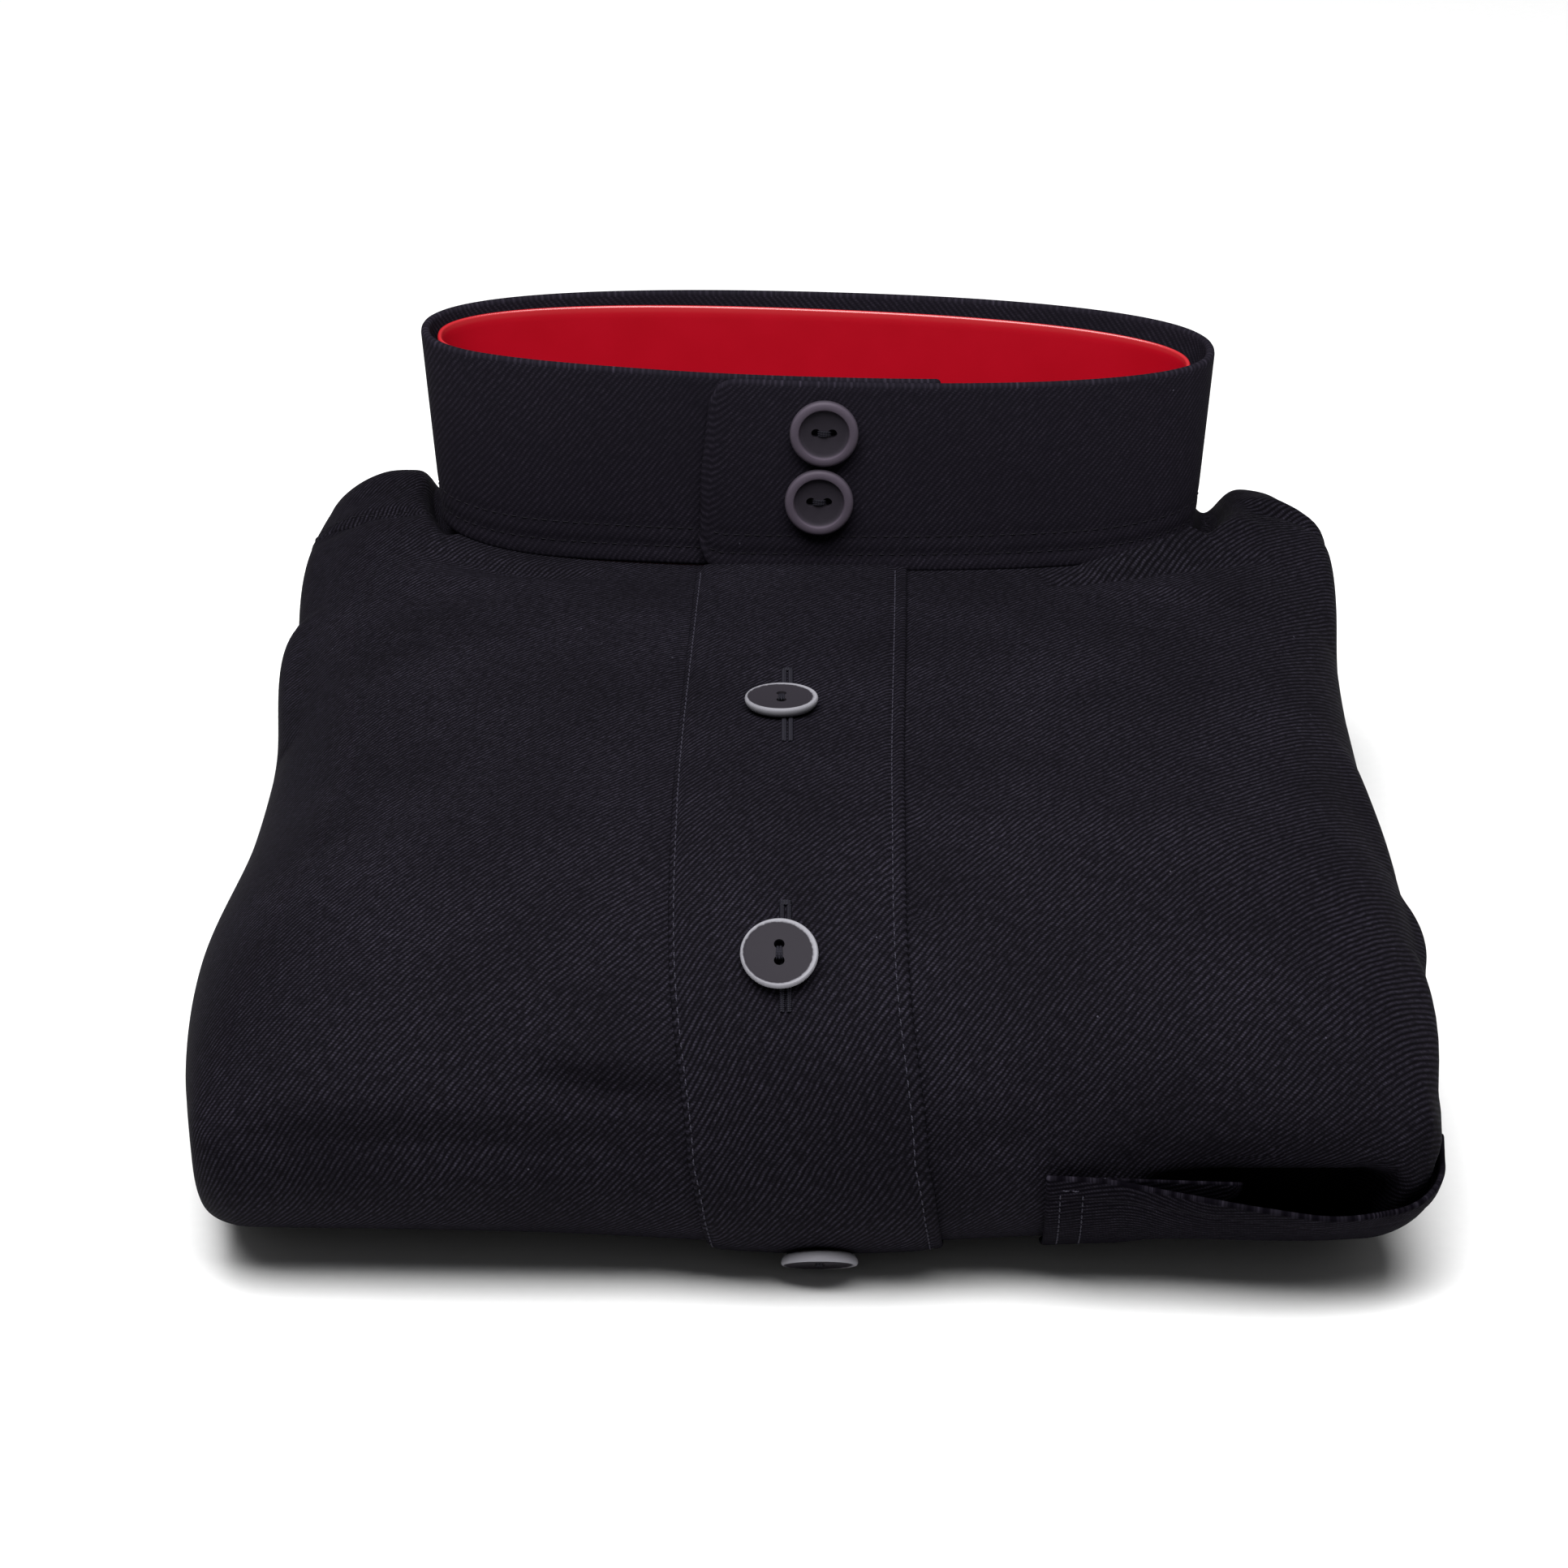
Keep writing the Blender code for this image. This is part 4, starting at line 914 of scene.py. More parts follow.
def support(card):
    """The strip inside the collar: its outer face, a round upper edge, its inner face and a lower edge."""
    degrees = np.linspace(0, 360, 401)[:-1]
    plan = oval(SUPPORT_HALF, SUPPORT_Y, degrees, FOOT_SKEW)
    inner = oval([half - SUPPORT_WALL for half in SUPPORT_HALF], SUPPORT_Y, degrees, FOOT_SKEW)
    lift = RIM_Z - SUPPORT_BELOW_RIM + RIM_TILT * plan[:, 0] / RIM_HALF[0]
    lift = lift + SUPPORT_BACK_RISE * step(plan[:, 1] + SUPPORT_LEAN, *RIM_BACK_FROM)
    foot = top(plan[:, 0], plan[:, 1]) - BEDDING + 2 * GAP
    wider, aside, back = SUPPORT_SPREAD
    leftwards = wider * (plan[:, 0] - COLLAR_X) / SUPPORT_HALF[0] - aside
    behind = np.clip((plan[:, 1] - SUPPORT_Y) / SUPPORT_HALF[1], 0.0, 1.0)
    lean = np.column_stack([leftwards, SUPPORT_LEAN + back * behind])

    def face(line, shares):
        return [np.column_stack([line + lean * share, foot + (lift - foot) * share]) for share in shares]

    up, down = np.linspace(0, 1, 20), np.linspace(1, 0, 20)
    middle, reach = (plan + inner) / 2 + lean, (plan - inner) / 2
    edge = []
    for angle in np.radians([45.0, 90.0, 135.0]):
        height = lift + SUPPORT_WALL / 2 * math.sin(angle)
        edge.append(np.column_stack([middle + reach * math.cos(angle), height]))
    rings = np.array(face(plan, up) + edge + face(inner, down))
    runs = 100.0 * np.concatenate([up, np.full(len(edge), 1.01), down])
    flat = np.stack(np.broadcast_arrays(distances(plan)[None, :], runs[:, None]), axis=2)
    piece_from("collar_strip", ring_shell(rings, flat), card, "collar_support")


def front_run(x, run):
    """A point of the skin down the front: run is 1 at the placket's top, 0 at the widest line, -1 under."""
    x = np.asarray(x, float)
    edge = front_edge(x)
    if run < 0:
        return under(np.column_stack([x, edge]), np.full(len(x), -run * 90.0), pressed=False)
    y = edge + (PLACKET_TOP - edge) * run**PLACKET_RUN_POWER
    return np.stack([x, y, top(x, y)], axis=-1)


def placket(cloth):
    """The placket: a strip over the fronts' edges, pressed down along both rows of stitches.

    It gives the lines of these two rows.
    """
    runs = np.concatenate([np.linspace(1, 0, 300), np.linspace(0, -PLACKET_WRAP / 90, 80)[1:]])
    across = np.linspace(-PLACKET_HALF, PLACKET_HALF, 64)
    grid = np.array([front_run(across + from_table(PLACKET_MIDDLE, run), run) for run in runs])
    grid = evened(grid[::-1], 290)
    flat = flat_by_rows(grid)
    from_left, from_right = across + PLACKET_HALF, PLACKET_HALF - across
    left, right = PLACKET_STITCHES
    pressed = PRESSED * bell(from_left - left, 0.9) + PRESSED * bell(from_right - right, 0.9)
    edges = PADDED * (1 - step(from_left, 0.0, 1.2)) + PADDED * (1 - step(from_right, 0.0, 1.2))
    padded = PADDED * np.sin(np.pi * np.clip(from_left / (2 * PLACKET_HALF), 0, 1)) ** 0.5
    along = flat[:, :, 1]
    gather = GATHERED * np.sin(along / 2.1 + np.sin(along / 9.0)) * bell(from_left - left, 2.6)
    gather = gather + GATHERED * np.sin(along / 2.4 + 2.0) * bell(from_right - right, 2.6)
    ripple = RIPPLED * np.sin(along / 17.0 + across / 23.0)
    stand = PLACKET_STAND + padded - pressed - edges + gather + ripple
    grid = creased(grid + grid_normals(grid) * stand[:, :, None], PLACKET_CREASES)
    piece_from("front_placket", shell(grid, flat, CLOTH), cloth, "placket")
    return lines_of(grid, [int(np.argmin(np.abs(off))) for off in (from_left - left, from_right - right)])


def standing_off(points, degree_rows, stands, sewn=0.0):
    """A grid over the lower front, each row moved out from it along its normals.

    Over the sewn share of its rows it comes in to the hollow that the front is pressed to.
    """
    base = np.array([under(points, degrees, pressed=False) for degrees in degree_rows])
    if sewn:
        pressed_in = np.array([under(points, degrees) for degrees in degree_rows])
        turned = 1 - step(np.linspace(0, 1, len(base)), 0.0, sewn)
        base = base + (pressed_in - base) * turned[:, None, None]
    return base + grid_normals(base) * stands


def lower_right(count, length, start):
    """The widest line from x = start on the front end, round the right corner."""
    dense, normals, run = sampled(front_path(), 1200)
    begin = np.flatnonzero((dense[:, 0] > start) & (dense[:, 1] < FRONT + 30))[0]
    at = run[begin] + np.linspace(0.0, length, count)
    return read_at(at, run, dense), read_at(at, run, normals), at - at[0]


def pocket(cloth):
    """The chest pocket: flat on the front at its foot, and standing off it towards the mouth.

    It gives the lines of the stitches down its side, and of those across them.
    """
    points, normals, run = lower_right(120, POCKET_MOUTH[-1][0], POCKET_FROM)
    mouth, gape = from_table(POCKET_MOUTH, run, 1), from_table(POCKET_MOUTH, run, 2)
    foot = np.minimum(side_wrap(points, normals) + 2.0, POCKET_WRAP)
    shares = np.linspace(0, 1, 48)[:, None]
    stands = POCKET_CLEAR + CLOTH + (gape - GAP) * shares**POCKET_FLARE
    grid = standing_off(points, foot + (mouth - foot) * shares, stands[:, :, None], POCKET_SEWN)
    flat = flat_by_rows(grid)
    from_mouth = flat[-1:, :, 1] - flat[:, :, 1]
    stitched, depth = TURNED_STITCHES
    turned = TURNED_THICK * (1 - step(from_mouth, *TURNED_ENDS)) - depth * bell(from_mouth - stitched, 0.7)
    grid = grid + grid_normals(grid) * turned[:, :, None]
    piece_from("breast_pocket", shell(grid, flat, CLOTH), cloth, "chest_pocket")
    columns = [int(np.argmin(np.abs(run - at))) for at in POCKET_STITCHES]
    across = slice(columns[0], columns[1] + 1)
    return lines_of(grid, columns, slice(14, -3)) + [(grid[-4, across], grid_normals(grid)[-4, across])]


def pocket_hem(cloth):
    """The turned hem of the pocket's mouth: a narrow strip behind its edge."""
    points, _, run = lower_right(70, HEM_WIDTH, POCKET_FROM + 1.0)
    high = HEM_DEGREES[0] + 3.0 * run / HEM_WIDTH
    rounded = np.sqrt(np.clip(1 - (np.clip(run - HEM_WIDTH + 3.0, 0.0, 3.0) / 3.1) ** 2, 0.0, 1.0))
    low = high + (HEM_DEGREES[1] - high) * rounded
    grid = standing_off(points, low + (high - low) * np.linspace(0, 1, 14)[:, None], HEM_STAND)
    piece_from("hem", shell(grid, flat_by_rows(grid), HEM_WALL), cloth, "pocket_hem")


def seat_frame(point, across, up, lift):
    """A frame on a surface: x across, y up the piece, z out of it, lifted off it."""
    out = unit(np.cross(across, up))
    across = unit(across)
    return np.column_stack([across, np.cross(out, across), out]), point + out * lift


def placket_seat(x, run):
    """The frame of a button on the placket."""
    here = front_run([x, x + 1.0], run)
    above = front_run([x], run + 0.01)[0]
    below = front_run([x], run - 0.01)[0]
    return seat_frame(here[0], here[1] - here[0], above - below, PLACKET_STAND + BUTTON_SEAT)


def collar_seat(x, share):
    """The frame of a button on the collar's tab."""
    turn = math.asin((abs(x) / FOOT_HALF[0]) ** (COLLAR_SQUARE / 2))
    centre = -90 + math.degrees(math.copysign(turn, x))
    near = np.array([centre, centre + 1.0])
    here = collar_line(near, np.full(2, share))
    above = collar_line(near[:1], np.full(1, share + 0.1))[0]
    return seat_frame(here[0], here[1] - here[0], above - here[0], BUTTON_SEAT + 0.15)


# Buttonholes: rows of thread beside a slot, and a bar; a thread is its length, radius and arch
SLOT_ENDS = (-0.07, 0.075)  # in the placket's run, from the button
SLOT_FROM_BUTTON = 1.2
SLOT_STAND = 0.4
SLOT_PITCH = 0.42
SLOT_ASIDE = 0.68
SLOT_LEAN = 0.12
SLOT_THREAD = (1.15, 0.24, 0.22)
BAR_THREAD = (2.7, 0.28, 0.3)
BAR_PLACES = (0.1, 0.5, 0.9)

# The threads that hold a button: strands side by side, each turned a little
STRANDS_ASIDE = (-0.45, -0.15, 0.15, 0.45)
STRANDS_TURNED = (0.05, -0.04, 0.03, -0.05)
STRAND = (HOLE_APART - 0.5, 0.2, 0.45)
DISHED_THREAD_UP = 1.5
FLAT_THREAD_UP = 2.3

# Profiles of the buttons: radius and height, from the middle of the top to that of the foot
DISHED = (
    *((0.0, 1.62), (4.8, 1.66), (5.25, 1.85), (5.5, 2.3), (5.68, 2.7), (5.9, 2.78), (6.8, 2.74), (7.25, 2.5)),
    *((7.5, 2.1), (7.6, 1.7), (7.5, 1.2), (7.1, 0.6), (6.2, 0.2), (4.7, 0.0), (0.0, 0.0)),
)
FLAT = (
    *((0.0, 2.5), (6.4, 2.5), (6.75, 2.56), (7.05, 2.66), (7.3, 2.62), (7.5, 2.42)),
    *((7.6, 2.1), (7.5, 1.5), (7.1, 0.8), (6.3, 0.25), (4.7, 0.0), (0.0, 0.0)),
)


def turned_solid(name, profile, sides=72):
    """A closed mesh: the profile turned about z, from the middle of its top to that of its foot."""
    angle = np.linspace(0, 2 * np.pi, sides, endpoint=False) + 0.017  # so that no edge meets a drill's corner
    radii, heights = profile[1:-1].T
    across, along = radii[:, None] * np.cos(angle), radii[:, None] * np.sin(angle)
    rings = np.stack(np.broadcast_arrays(across, along, heights[:, None]), axis=2)
    count = len(radii)
    points = np.concatenate([rings.reshape(-1, 3), [[0.0, 0.0, profile[0, 1]], [0.0, 0.0, 0.0]]])
    index = np.arange(count * sides).reshape(count, sides)
    on = np.roll(index, -1, axis=1)
    quads = np.stack([index[:-1], index[1:], on[1:], on[:-1]], axis=2).reshape(-1, 4).tolist()
    upper = [(a, b, count * sides) for a, b in zip(index[0].tolist(), on[0].tolist())]
    lower = [(b, a, count * sides + 1) for a, b in zip(index[-1].tolist(), on[-1].tolist())]
    mesh = bpy.data.meshes.new(name)
    mesh.from_pydata(points.tolist(), [], quads + upper + lower)
    return mesh


def button(name, node, seat, profile, upright, resin):
    """A button: its profile turned about its middle, with two thread holes bored through it.

    Its flat places are its own plan, in millimetres from the middle.
    """
    blank = linked(name, turned_solid(name, np.array(profile)))
    drills = []
    for apart in (-HOLE_APART / 2, HOLE_APART / 2):
        cut = bmesh.new()
        radii = {"radius1": HOLE_RADIUS, "radius2": HOLE_RADIUS}
        bmesh.ops.create_cone(cut, cap_ends=True, segments=28, depth=12, **radii)
        bmesh.ops.translate(cut, verts=cut.verts, vec=(0.0, apart, 0.0) if upright else (apart, 0.0, 0.0))
        drill = bpy.data.meshes.new(name + "_drill")
        cut.to_mesh(drill)
        cut.free()
        drills.append(linked(name + "_drill", drill))
        hole = blank.modifiers.new("hole", "BOOLEAN")
        hole.operation, hole.solver, hole.object = "DIFFERENCE", "EXACT", drills[-1]
    solid = bpy.data.meshes.new_from_object(blank.evaluated_get(bpy.context.evaluated_depsgraph_get()))
    blank.modifiers.clear()
    for drill in drills:
        bpy.data.objects.remove(drill)
    whole = bmesh.new()
    whole.from_mesh(solid)
    bmesh.ops.remove_doubles(whole, verts=whole.verts, dist=0.004)
    bmesh.ops.triangulate(whole, faces=whole.faces)
    whole.to_mesh(solid)
    whole.free()
    blank.data = solid
    local = np.zeros(len(solid.vertices) * 3)
    solid.vertices.foreach_get("co", local)
    local = local.reshape(-1, 3)
    axes, place = seat
    solid.vertices.foreach_set("co", ((local @ axes.T + place) * MM).ravel())
    finished(solid, local[:, :2], resin, sharp=32)
    rides(blank, node)


def hole_thread(seat, upright, height):
    """The thread of a sewn button: strands laid from one hole to the other, and down into both."""
    axes, place = seat
    across, along = (axes[:, 0], axes[:, 1]) if upright else (axes[:, 1], axes[:, 0])
    places = place + axes[:, 2] * height + np.array(STRANDS_ASIDE)[:, None] * across
    normals = np.broadcast_to(axes[:, 2], places.shape)
    headings = along + across * np.array(STRANDS_TURNED)[:, None]
    return threads(places, headings, normals, *STRAND, rings=9)


def buttonhole(x, run):
    """Thread round a slot along the placket: close rows across both its sides, and a bar at its upper end."""
    runs = run + np.linspace(*SLOT_ENDS, 60)
    path, beside = np.array([front_run([x, x + 1.0], run) for run in runs]).transpose(1, 0, 2)
    ahead = np.gradient(path, axis=0)
    out = unit(np.cross(beside - path, ahead))
    path = path + out * (PLACKET_STAND + SLOT_STAND)
    run = distances(path)
    at = np.arange(0.0, run[-1], SLOT_PITCH)
    places, normals, ahead = (read_at(at, run, rows) for rows in (path, out, ahead))
    across, ahead = unit(np.cross(ahead, normals)), unit(ahead)
    rows = []
    for side in (-1, 1):
        lean = across + SLOT_LEAN * side * ahead
        rows.append(threads(places + across * side * SLOT_ASIDE, lean, normals, *SLOT_THREAD))
    end = places[-1] + ahead[-1] * np.array(BAR_PLACES)[:, None]
    rows.append(threads(end, across[[-1, -1, -1]], normals[[-1, -1, -1]], *BAR_THREAD))
    return joined(rows)


# Light and camera, in metres, watts and degrees
ROOM_LIGHT = 0.14
LIGHTS = (  # name, place, target, size, power
    ("overhead", (-0.1, -0.36, 1.6), (0.0, 0.0, 0.0), (1.7, 1.5), 48.0),
    ("front_softbox", (-0.12, -0.45, 1.0), (0.0, 0.03, 0.05), (0.9, 0.6), 10.0),
)
FLOOR_HALF = 6.0
CAMERA_LENS = 139.75
CAMERA_PLACE = (-0.0065, -1.1716, 0.6076)
CAMERA_DOWN = 25.5


def linear(code):
    """An sRGB hex colour as the linear colour that a shader takes."""
    parts = np.array([int(code[k : k + 2], 16) for k in (1, 3, 5)]) / 255
    parts = np.where(parts <= 0.04045, parts / 12.92, ((parts + 0.055) / 1.055) ** 2.4)
    return (*parts.tolist(), 1.0)


def feed(tree, node, inputs):
    """Give a node its inputs: each is a value, or an output to link."""
    for name, value in inputs.items():
        if isinstance(value, bpy.types.NodeSocket):
            tree.links.new(value, node.inputs[name])
        else:
            node.inputs[name].default_value = value


def add(tree, kind, inputs=None, **settings):
    """Add a node with its settings and its inputs."""
    node = tree.nodes.new(kind)
    for name, value in settings.items():
        setattr(node, name, value)
    feed(tree, node, inputs or {})
    return node


def blank_material(name):
    """A material with its shader, and the tree to add to."""
    material = bpy.data.materials.new(name)
    material.use_nodes = True
    return material, material.node_tree, material.node_tree.nodes["Principled BSDF"]


def ramp(tree, value, stops):
    """A colour ramp with the given places and colours."""
    node = add(tree, "ShaderNodeValToRGB", {"Fac": value})
    elements = node.color_ramp.elements
    for k, (place, colour) in enumerate(stops):
        element = elements[k] if k < 2 else elements.new(place)
        element.position = place
        element.color = linear(colour) if isinstance(colour, str) else (colour, colour, colour, 1.0)
    return node.outputs["Color"]


def calculate(tree, kind, a, b=None, c=None):
    """One step of arithmetic."""
    inputs = {k: v for k, v in enumerate((a, b, c)) if v is not None}
    return add(tree, "ShaderNodeMath", inputs, operation=kind).outputs[0]


def times(tree, first, *others):
    """A product."""
    for other in others:
        first = calculate(tree, "MULTIPLY", first, other)
    return first


def mixed(tree, share, first, second):
    """Two colours mixed."""
    first, second = (linear(colour) if isinstance(colour, str) else colour for colour in (first, second))
    return add(tree, "ShaderNodeMix", {0: share, 6: first, 7: second}, data_type="RGBA").outputs[2]


def noise(tree, place, scale, detail, **more):
    """A noise over the places."""
    inputs = {"Vector": place, "Scale": scale, "Detail": detail, **more}
    return add(tree, "ShaderNodeTexNoise", inputs).outputs["Fac"]


def relief(tree, height, strength, depth):
    """The bump that a height gives, its depth in metres."""
    return add(tree, "ShaderNodeBump", {"Height": height, "Strength": strength, "Distance": depth}).outputs[0]


def flat_place(tree):
    """The place on the piece laid flat, in millimetres."""
    flat = add(tree, "ShaderNodeUVMap", uv_map="cloth").outputs["UV"]
    return add(tree, "ShaderNodeVectorMath", {0: flat, "Scale": 1000.0}, operation="SCALE").outputs[0]


def from_point(tree, place, x, y):
    """Distance of a flat place from a point."""
    off = add(tree, "ShaderNodeVectorMath", {0: place, 1: (x, y, 0.0)}, operation="SUBTRACT").outputs[0]
    return add(tree, "ShaderNodeVectorMath", {0: off}, operation="LENGTH").outputs["Value"]


def object_place(tree):
    """The place in the room."""
    return add(tree, "ShaderNodeTexCoord").outputs["Object"]


RIB = 1.05  # millimetres from one rib of the gabardine to the next
FLOAT = 0.55  # millimetres from one float of its yarn to the next, along a rib
FLOAT_SLOPE = -18.0
NAVY = ("#070609", "#36333e")  # ground and ribs


def waves(tree, axes, pitch, slope):
    """Distance across lines of that slope, in pitches."""
    angle = math.radians(slope)
    across = calculate(tree, "MULTIPLY", axes.outputs[0], -math.sin(angle) / pitch)
    return calculate(tree, "MULTIPLY_ADD", axes.outputs[1], math.cos(angle) / pitch, across)


def hump(tree, line):
    """A half sine over each whole step of the line."""
    return calculate(tree, "SINE", times(tree, calculate(tree, "FRACT", line), math.pi))


def twill(name, ground, rib, slope=50.0):
    """Wool-blend gabardine, woven in a steep twill and pressed: fine paler ribs on a near-black ground.

    Matt, with a faint sheen from its hairs. The ribs run at the slope over the cloth's flat places, each
    beaded by the floats of its yarn, and slubs, hairs and wear make them come and go. There is a little lint.
    """
    material, tree, shader = blank_material(name)
    size = flat_place(tree)
    axes = add(tree, "ShaderNodeSeparateXYZ", {0: size})
    line = calculate(tree, "MULTIPLY_ADD", noise(tree, size, 0.06, 3.0), 1.5, waves(tree, axes, RIB, slope))
    ridge = calculate(tree, "POWER", hump(tree, line), 2.4)
    floats = hump(tree, waves(tree, axes, FLOAT, slope + FLOAT_SLOPE - 50.0))
    beads = calculate(tree, "MULTIPLY_ADD", floats, 0.7, 0.3)
    along = waves(tree, axes, 4.0, slope + 90.0)
    slub_place = add(tree, "ShaderNodeCombineXYZ", {0: line, 1: along}).outputs[0]
    slubs = ramp(tree, noise(tree, slub_place, 1.7, 3.0, Roughness=0.7), ((0.35, 0.2), (0.65, 1.0)))
    hairs = ramp(tree, noise(tree, size, 1.5, 3.0, Roughness=0.75), ((0.38, 0.35), (0.62, 1.0)))
    worn = ramp(tree, noise(tree, size, 0.03, 2.0), ((0.3, 0.55), (0.7, 1.0)))
    colour = mixed(tree, times(tree, ridge, slubs, beads, hairs, worn), ground, rib)
    specks = add(tree, "ShaderNodeTexVoronoi", {"Vector": size, "Scale": 0.2}, feature="F1")
    chosen = add(tree, "ShaderNodeSeparateColor", {0: specks.outputs["Color"]}).outputs[0]
    near = calculate(tree, "LESS_THAN", specks.outputs["Distance"], 0.04)
    lint = times(tree, near, calculate(tree, "GREATER_THAN", chosen, 0.9), 0.4)
    height = calculate(tree, "MULTIPLY_ADD", floats, 0.3, ridge)
    looks = {
        "Base Color": mixed(tree, lint, colour, "#565460"),
        "Normal": relief(tree, height, 0.4, 0.0001),
        "Roughness": 0.85,
        "Specular IOR Level": 0.02,
        "Sheen Weight": 0.002,
        "Sheen Roughness": 0.45,
        "Sheen Tint": linear("#c8c4d8"),
    }
    feed(tree, shader, looks)
    return material


def thread_finish(name, dark, pale):
    """Spun polyester sewing thread, twisted from two plies: a soft gloss, and a fine turn along it."""
    material, tree, shader = blank_material(name)
    axes = add(tree, "ShaderNodeSeparateXYZ", {0: flat_place(tree)})
    turn = calculate(tree, "MULTIPLY_ADD", axes.outputs[1], 9.0, times(tree, axes.outputs[0], 11.0))
    ply = calculate(tree, "MULTIPLY_ADD", calculate(tree, "SINE", turn), 0.5, 0.5)
    looks = {
        "Base Color": mixed(tree, ply, dark, pale),
        "Normal": relief(tree, ply, 0.5, 0.00005),
        "Roughness": 0.7,
        "Specular IOR Level": 0.1,
    }
    feed(tree, shader, looks)
    return material


def dished_resin():
    """Cast polyester button, turned to a bowl and tumbled: a glossy rim and a satin bowl. Its colour holds
    painted light: the rim's top is painted paler as a painted highlight, and the bowl and the rim's outer
    turn darker as painted shade.
    """
    material, tree, shader = blank_material("dished_smoke_resin")
    size = flat_place(tree)
    share = calculate(tree, "DIVIDE", from_point(tree, size, 0.0, 0.0), BUTTON_RADIUS)
    # painted light by radius: the bowl and the rim's outer turn are painted darker as painted shade, the
    # rim's top paler as a painted highlight
    shaded_bowl_to_lit_rim = ((0.6, "#221f25"), (0.7, "#2a262d"), (0.73, "#453e48"), (0.96, "#453e48"), (1.0, "#2c282f"))
    cloud = times(tree, noise(tree, size, 0.5, 3.0), 0.2)
    looks = {
        "Base Color": mixed(tree, cloud, ramp(tree, share, shaded_bowl_to_lit_rim), "#37323b"),
        "Roughness": ramp(tree, share, ((0.6, 0.65), (0.75, 0.5))),
        "IOR": 1.5,
        "Specular IOR Level": 0.1,
    }
    feed(tree, shader, looks)
    return material


def flat_resin():
    """Cast polyester button with a brushed flat face: fine curved lines, and a polished edge painted pale as
    a painted highlight.
    """
    material, tree, shader = blank_material("brushed_smoke_resin")
    size = flat_place(tree)
    arcs = times(tree, from_point(tree, size, 14.0, -9.0), 6.0)
    lines = add(tree, "ShaderNodeTexNoise", {"W": arcs, "Detail": 3.0}, noise_dimensions="1D").outputs["Fac"]
    radius = calculate(tree, "DIVIDE", from_point(tree, size, -0.26, -0.1), BUTTON_RADIUS)
    share = calculate(tree, "MULTIPLY_ADD", noise(tree, size, 1.4, 2.0), 0.05, radius)
    # painted highlight: a pale ring where the rounded edge catches the light, its border made ragged by the
    # noise
    edge = ramp(tree, share, ((0.9, 0.0), (0.935, 0.8), (0.97, 1.0)))
    face = mixed(tree, ramp(tree, lines, ((0.35, 0.0), (0.65, 1.0))), "#1e1c20", "#28252b")
    looks = {
        # the pale grey mixed in at the edge is the painted highlight
        "Base Color": mixed(tree, edge, face, "#7a797f"),
        "Normal": relief(tree, lines, 0.3, 0.00005),
        "Roughness": ramp(tree, share, ((0.9, 0.6), (0.95, 0.35))),
        "IOR": 1.5,
        "Specular IOR Level": 0.07,
    }
    feed(tree, shader, looks)
    return material


def red_card():
    """Coated board, printed plain red: a smooth glossy face, and a duller cut edge where the core shows."""
    material, tree, shader = blank_material("coated_red_card")
    share = times(tree, add(tree, "ShaderNodeSeparateXYZ", {0: flat_place(tree)}).outputs[1], 0.01)
    face = mixed(tree, noise(tree, object_place(tree), 90.0, 3.0), "#960213", "#a2061b")
    looks = {
        "Base Color": mixed(tree, ramp(tree, share, ((0.975, 0.0), (0.99, 1.0))), face, "#a01a22"),
        "Roughness": 0.32,
        "Coat Weight": 0.35,
        "Coat Roughness": 0.15,
    }
    feed(tree, shader, looks)
    return material


def floor_finish():
    """Matt white paper."""
    material, tree, shader = blank_material("white_paper")
    white = mixed(tree, noise(tree, object_place(tree), 400.0, 2.0), "#e4e4e4", "#e8e8e8")
    feed(tree, shader, {"Base Color": white, "Roughness": 0.9, "Specular IOR Level": 0.1})
    return material


def area_light(name, place, target, size, power):
    """A soft rectangular light at the place, turned to its target."""
    lamp = bpy.data.lights.new(name, "AREA")
    lamp.shape = "RECTANGLE"
    lamp.size, lamp.size_y = size
    lamp.energy = power
    holder = linked(name, lamp)
    holder.location = place
    holder.rotation_euler = (Vector(target) - Vector(place)).to_track_quat("-Z", "Y").to_euler()


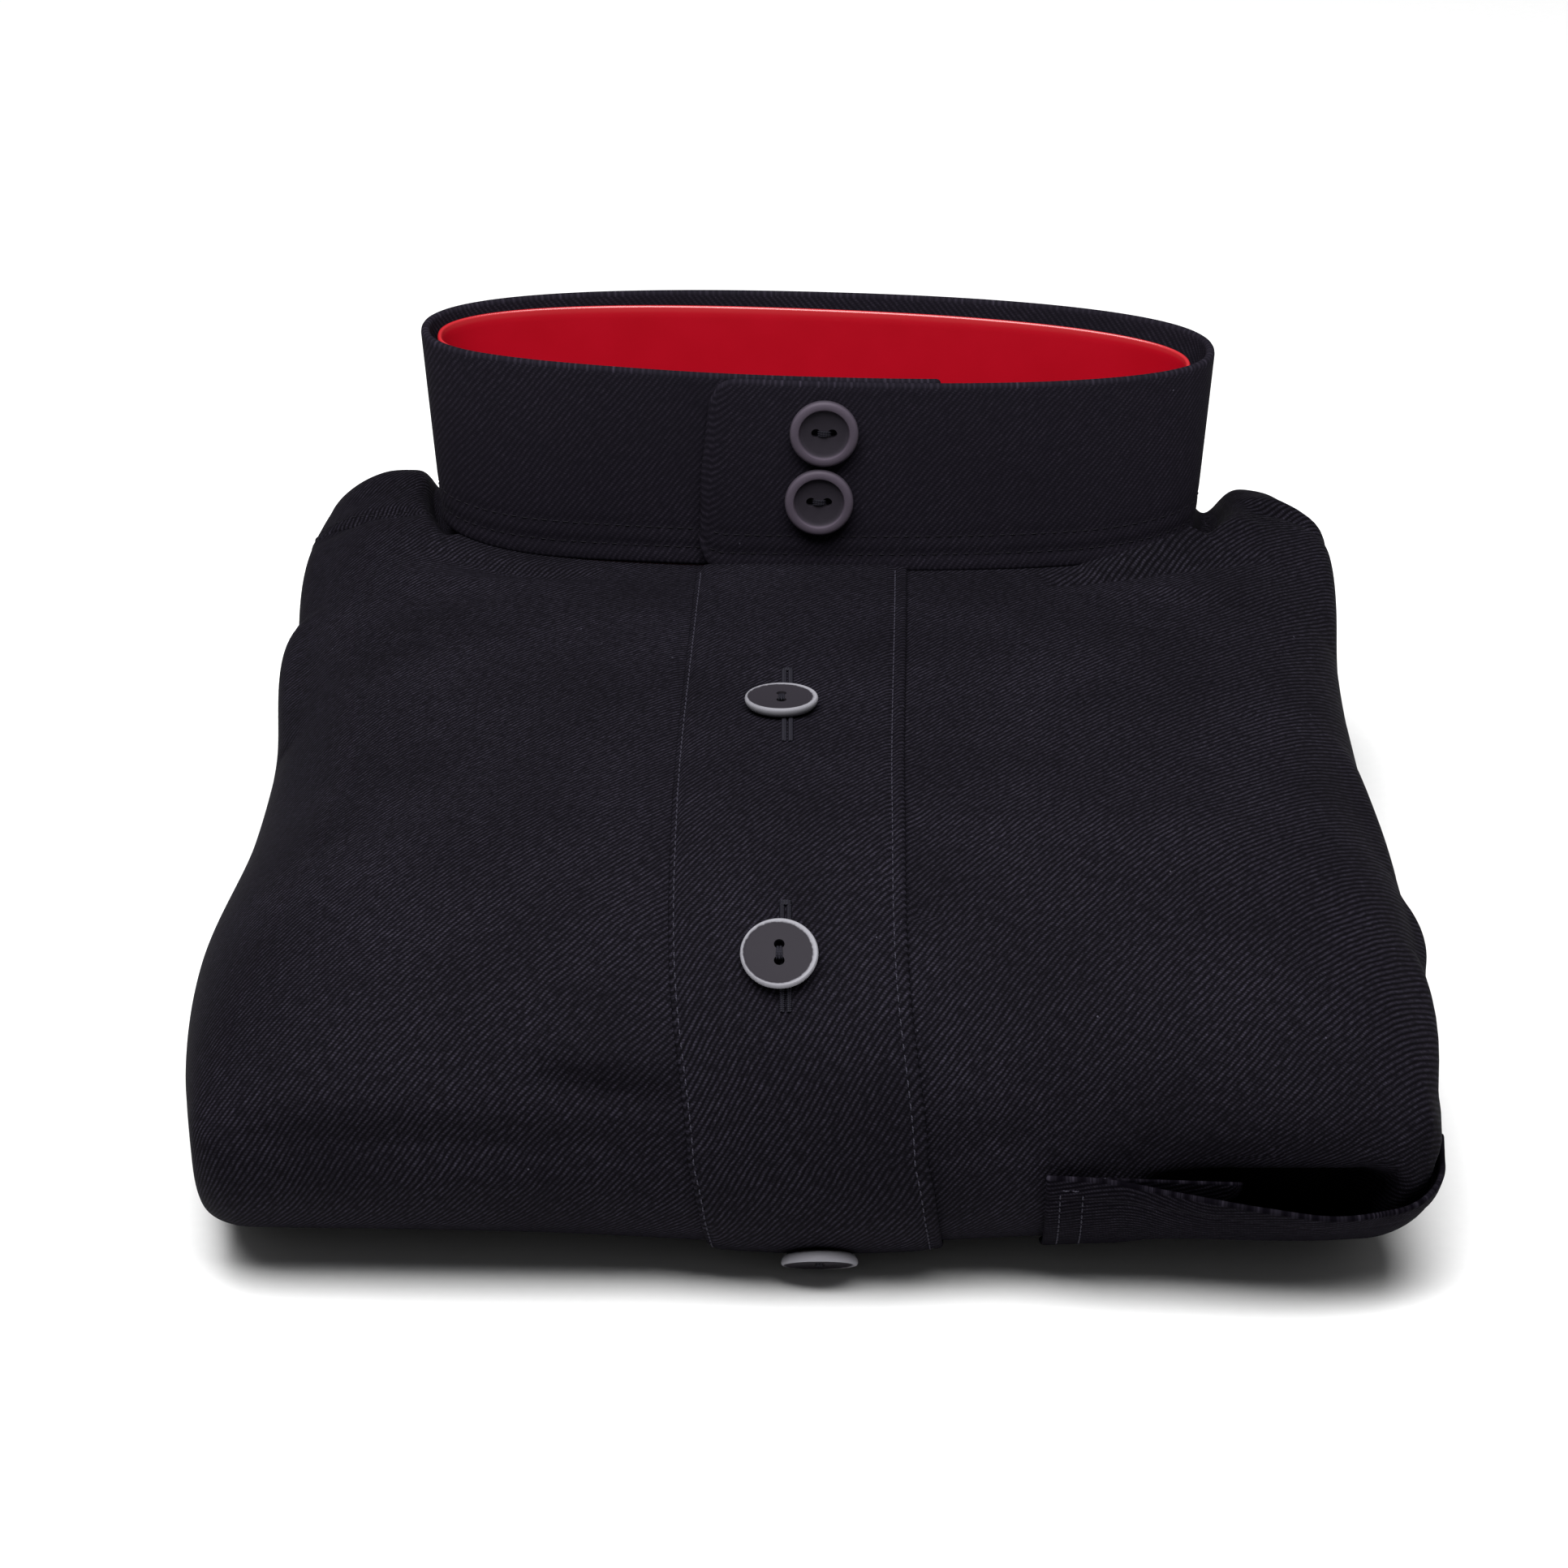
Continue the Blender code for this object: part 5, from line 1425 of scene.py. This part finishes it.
def studio():
    """A white floor, an even room, one large soft light overhead, one in front, and the camera."""
    mesh = bpy.data.meshes.new("floor")
    far = FLOOR_HALF
    mesh.from_pydata([(-far, -far, 0), (far, -far, 0), (far, far, 0), (-far, far, 0)], [], [(0, 1, 2, 3)])
    mesh.materials.append(floor_finish())
    linked("floor", mesh)
    world = bpy.data.worlds.new("room")
    world.use_nodes = True
    glow = {"Color": (1.0, 1.0, 1.0, 1.0), "Strength": ROOM_LIGHT}
    feed(world.node_tree, world.node_tree.nodes["Background"], glow)
    bpy.context.scene.world = world
    for light in LIGHTS:
        area_light(*light)
    camera = bpy.data.cameras.new("camera")
    camera.lens = CAMERA_LENS
    camera.sensor_width = 36.0
    holder = linked("camera", camera)
    holder.location = CAMERA_PLACE
    holder.rotation_euler = (math.radians(90.0 - CAMERA_DOWN), 0.0, 0.0)
    bpy.context.scene.camera = holder
    bpy.context.scene.view_settings.view_transform = "Standard"


def dress():
    """Make every piece of the robe."""
    navy = twill("navy_gabardine", *NAVY, slope=53.0)
    navy_right = twill("navy_gabardine_right", *NAVY, slope=42.0)
    folded = twill("navy_gabardine_folded", *NAVY)
    band = twill("navy_gabardine_band", "#131117", "#302c36")
    pocket_cloth = twill("navy_gabardine_crosswise", "#030205", "#2c2932", slope=14.0)
    sewing = thread_finish("navy_sewing_thread", "#1a1920", "#35333d")
    dim_sewing = thread_finish("navy_fine_thread", "#0c0b0f", "#19171d")
    dark_thread = thread_finish("black_buttonhole_thread", "#0c0b10", "#201f27")
    fronts(navy_right, navy)
    faint = yoke(navy)
    folded_layers(folded)
    sleeves(folded)
    faint = collar(band) + faint
    support(red_card())
    strong = [(*row, *PLACKET_STITCH) for row in placket(navy)]
    strong += [(*row, *POCKET_STITCH) for row in pocket(pocket_cloth)]
    faint = [(*row, *FINE_STITCH) for row in faint]
    pocket_hem(pocket_cloth)
    strands = []
    dish, face = dished_resin(), flat_resin()
    for place, x, share in COLLAR_BUTTONS:
        seat = collar_seat(x, share)
        button("collar_button_" + place + "_dished", "collar_button_" + place, seat, DISHED, False, dish)
        strands.append(hole_thread(seat, False, DISHED_THREAD_UP))
    for place, x, run in PLACKET_BUTTONS:
        seat = placket_seat(x, run)
        button("placket_button_" + place + "_flat", "placket_button_" + place, seat, FLAT, True, face)
        strands.append(hole_thread(seat, True, FLAT_THREAD_UP))
    holes = [buttonhole(x + SLOT_FROM_BUTTON, run) for _, x, run in PLACKET_BUTTONS[:2]]
    piece_from("stitches", joined([seam_row(*row) for row in strong]), sewing)
    piece_from("fine_stitches", joined([seam_row(*row) for row in faint]), dim_sewing)
    piece_from("button_thread", joined(strands), dark_thread)
    piece_from("buttonholes", joined(holes), dark_thread)


studio()
dress()
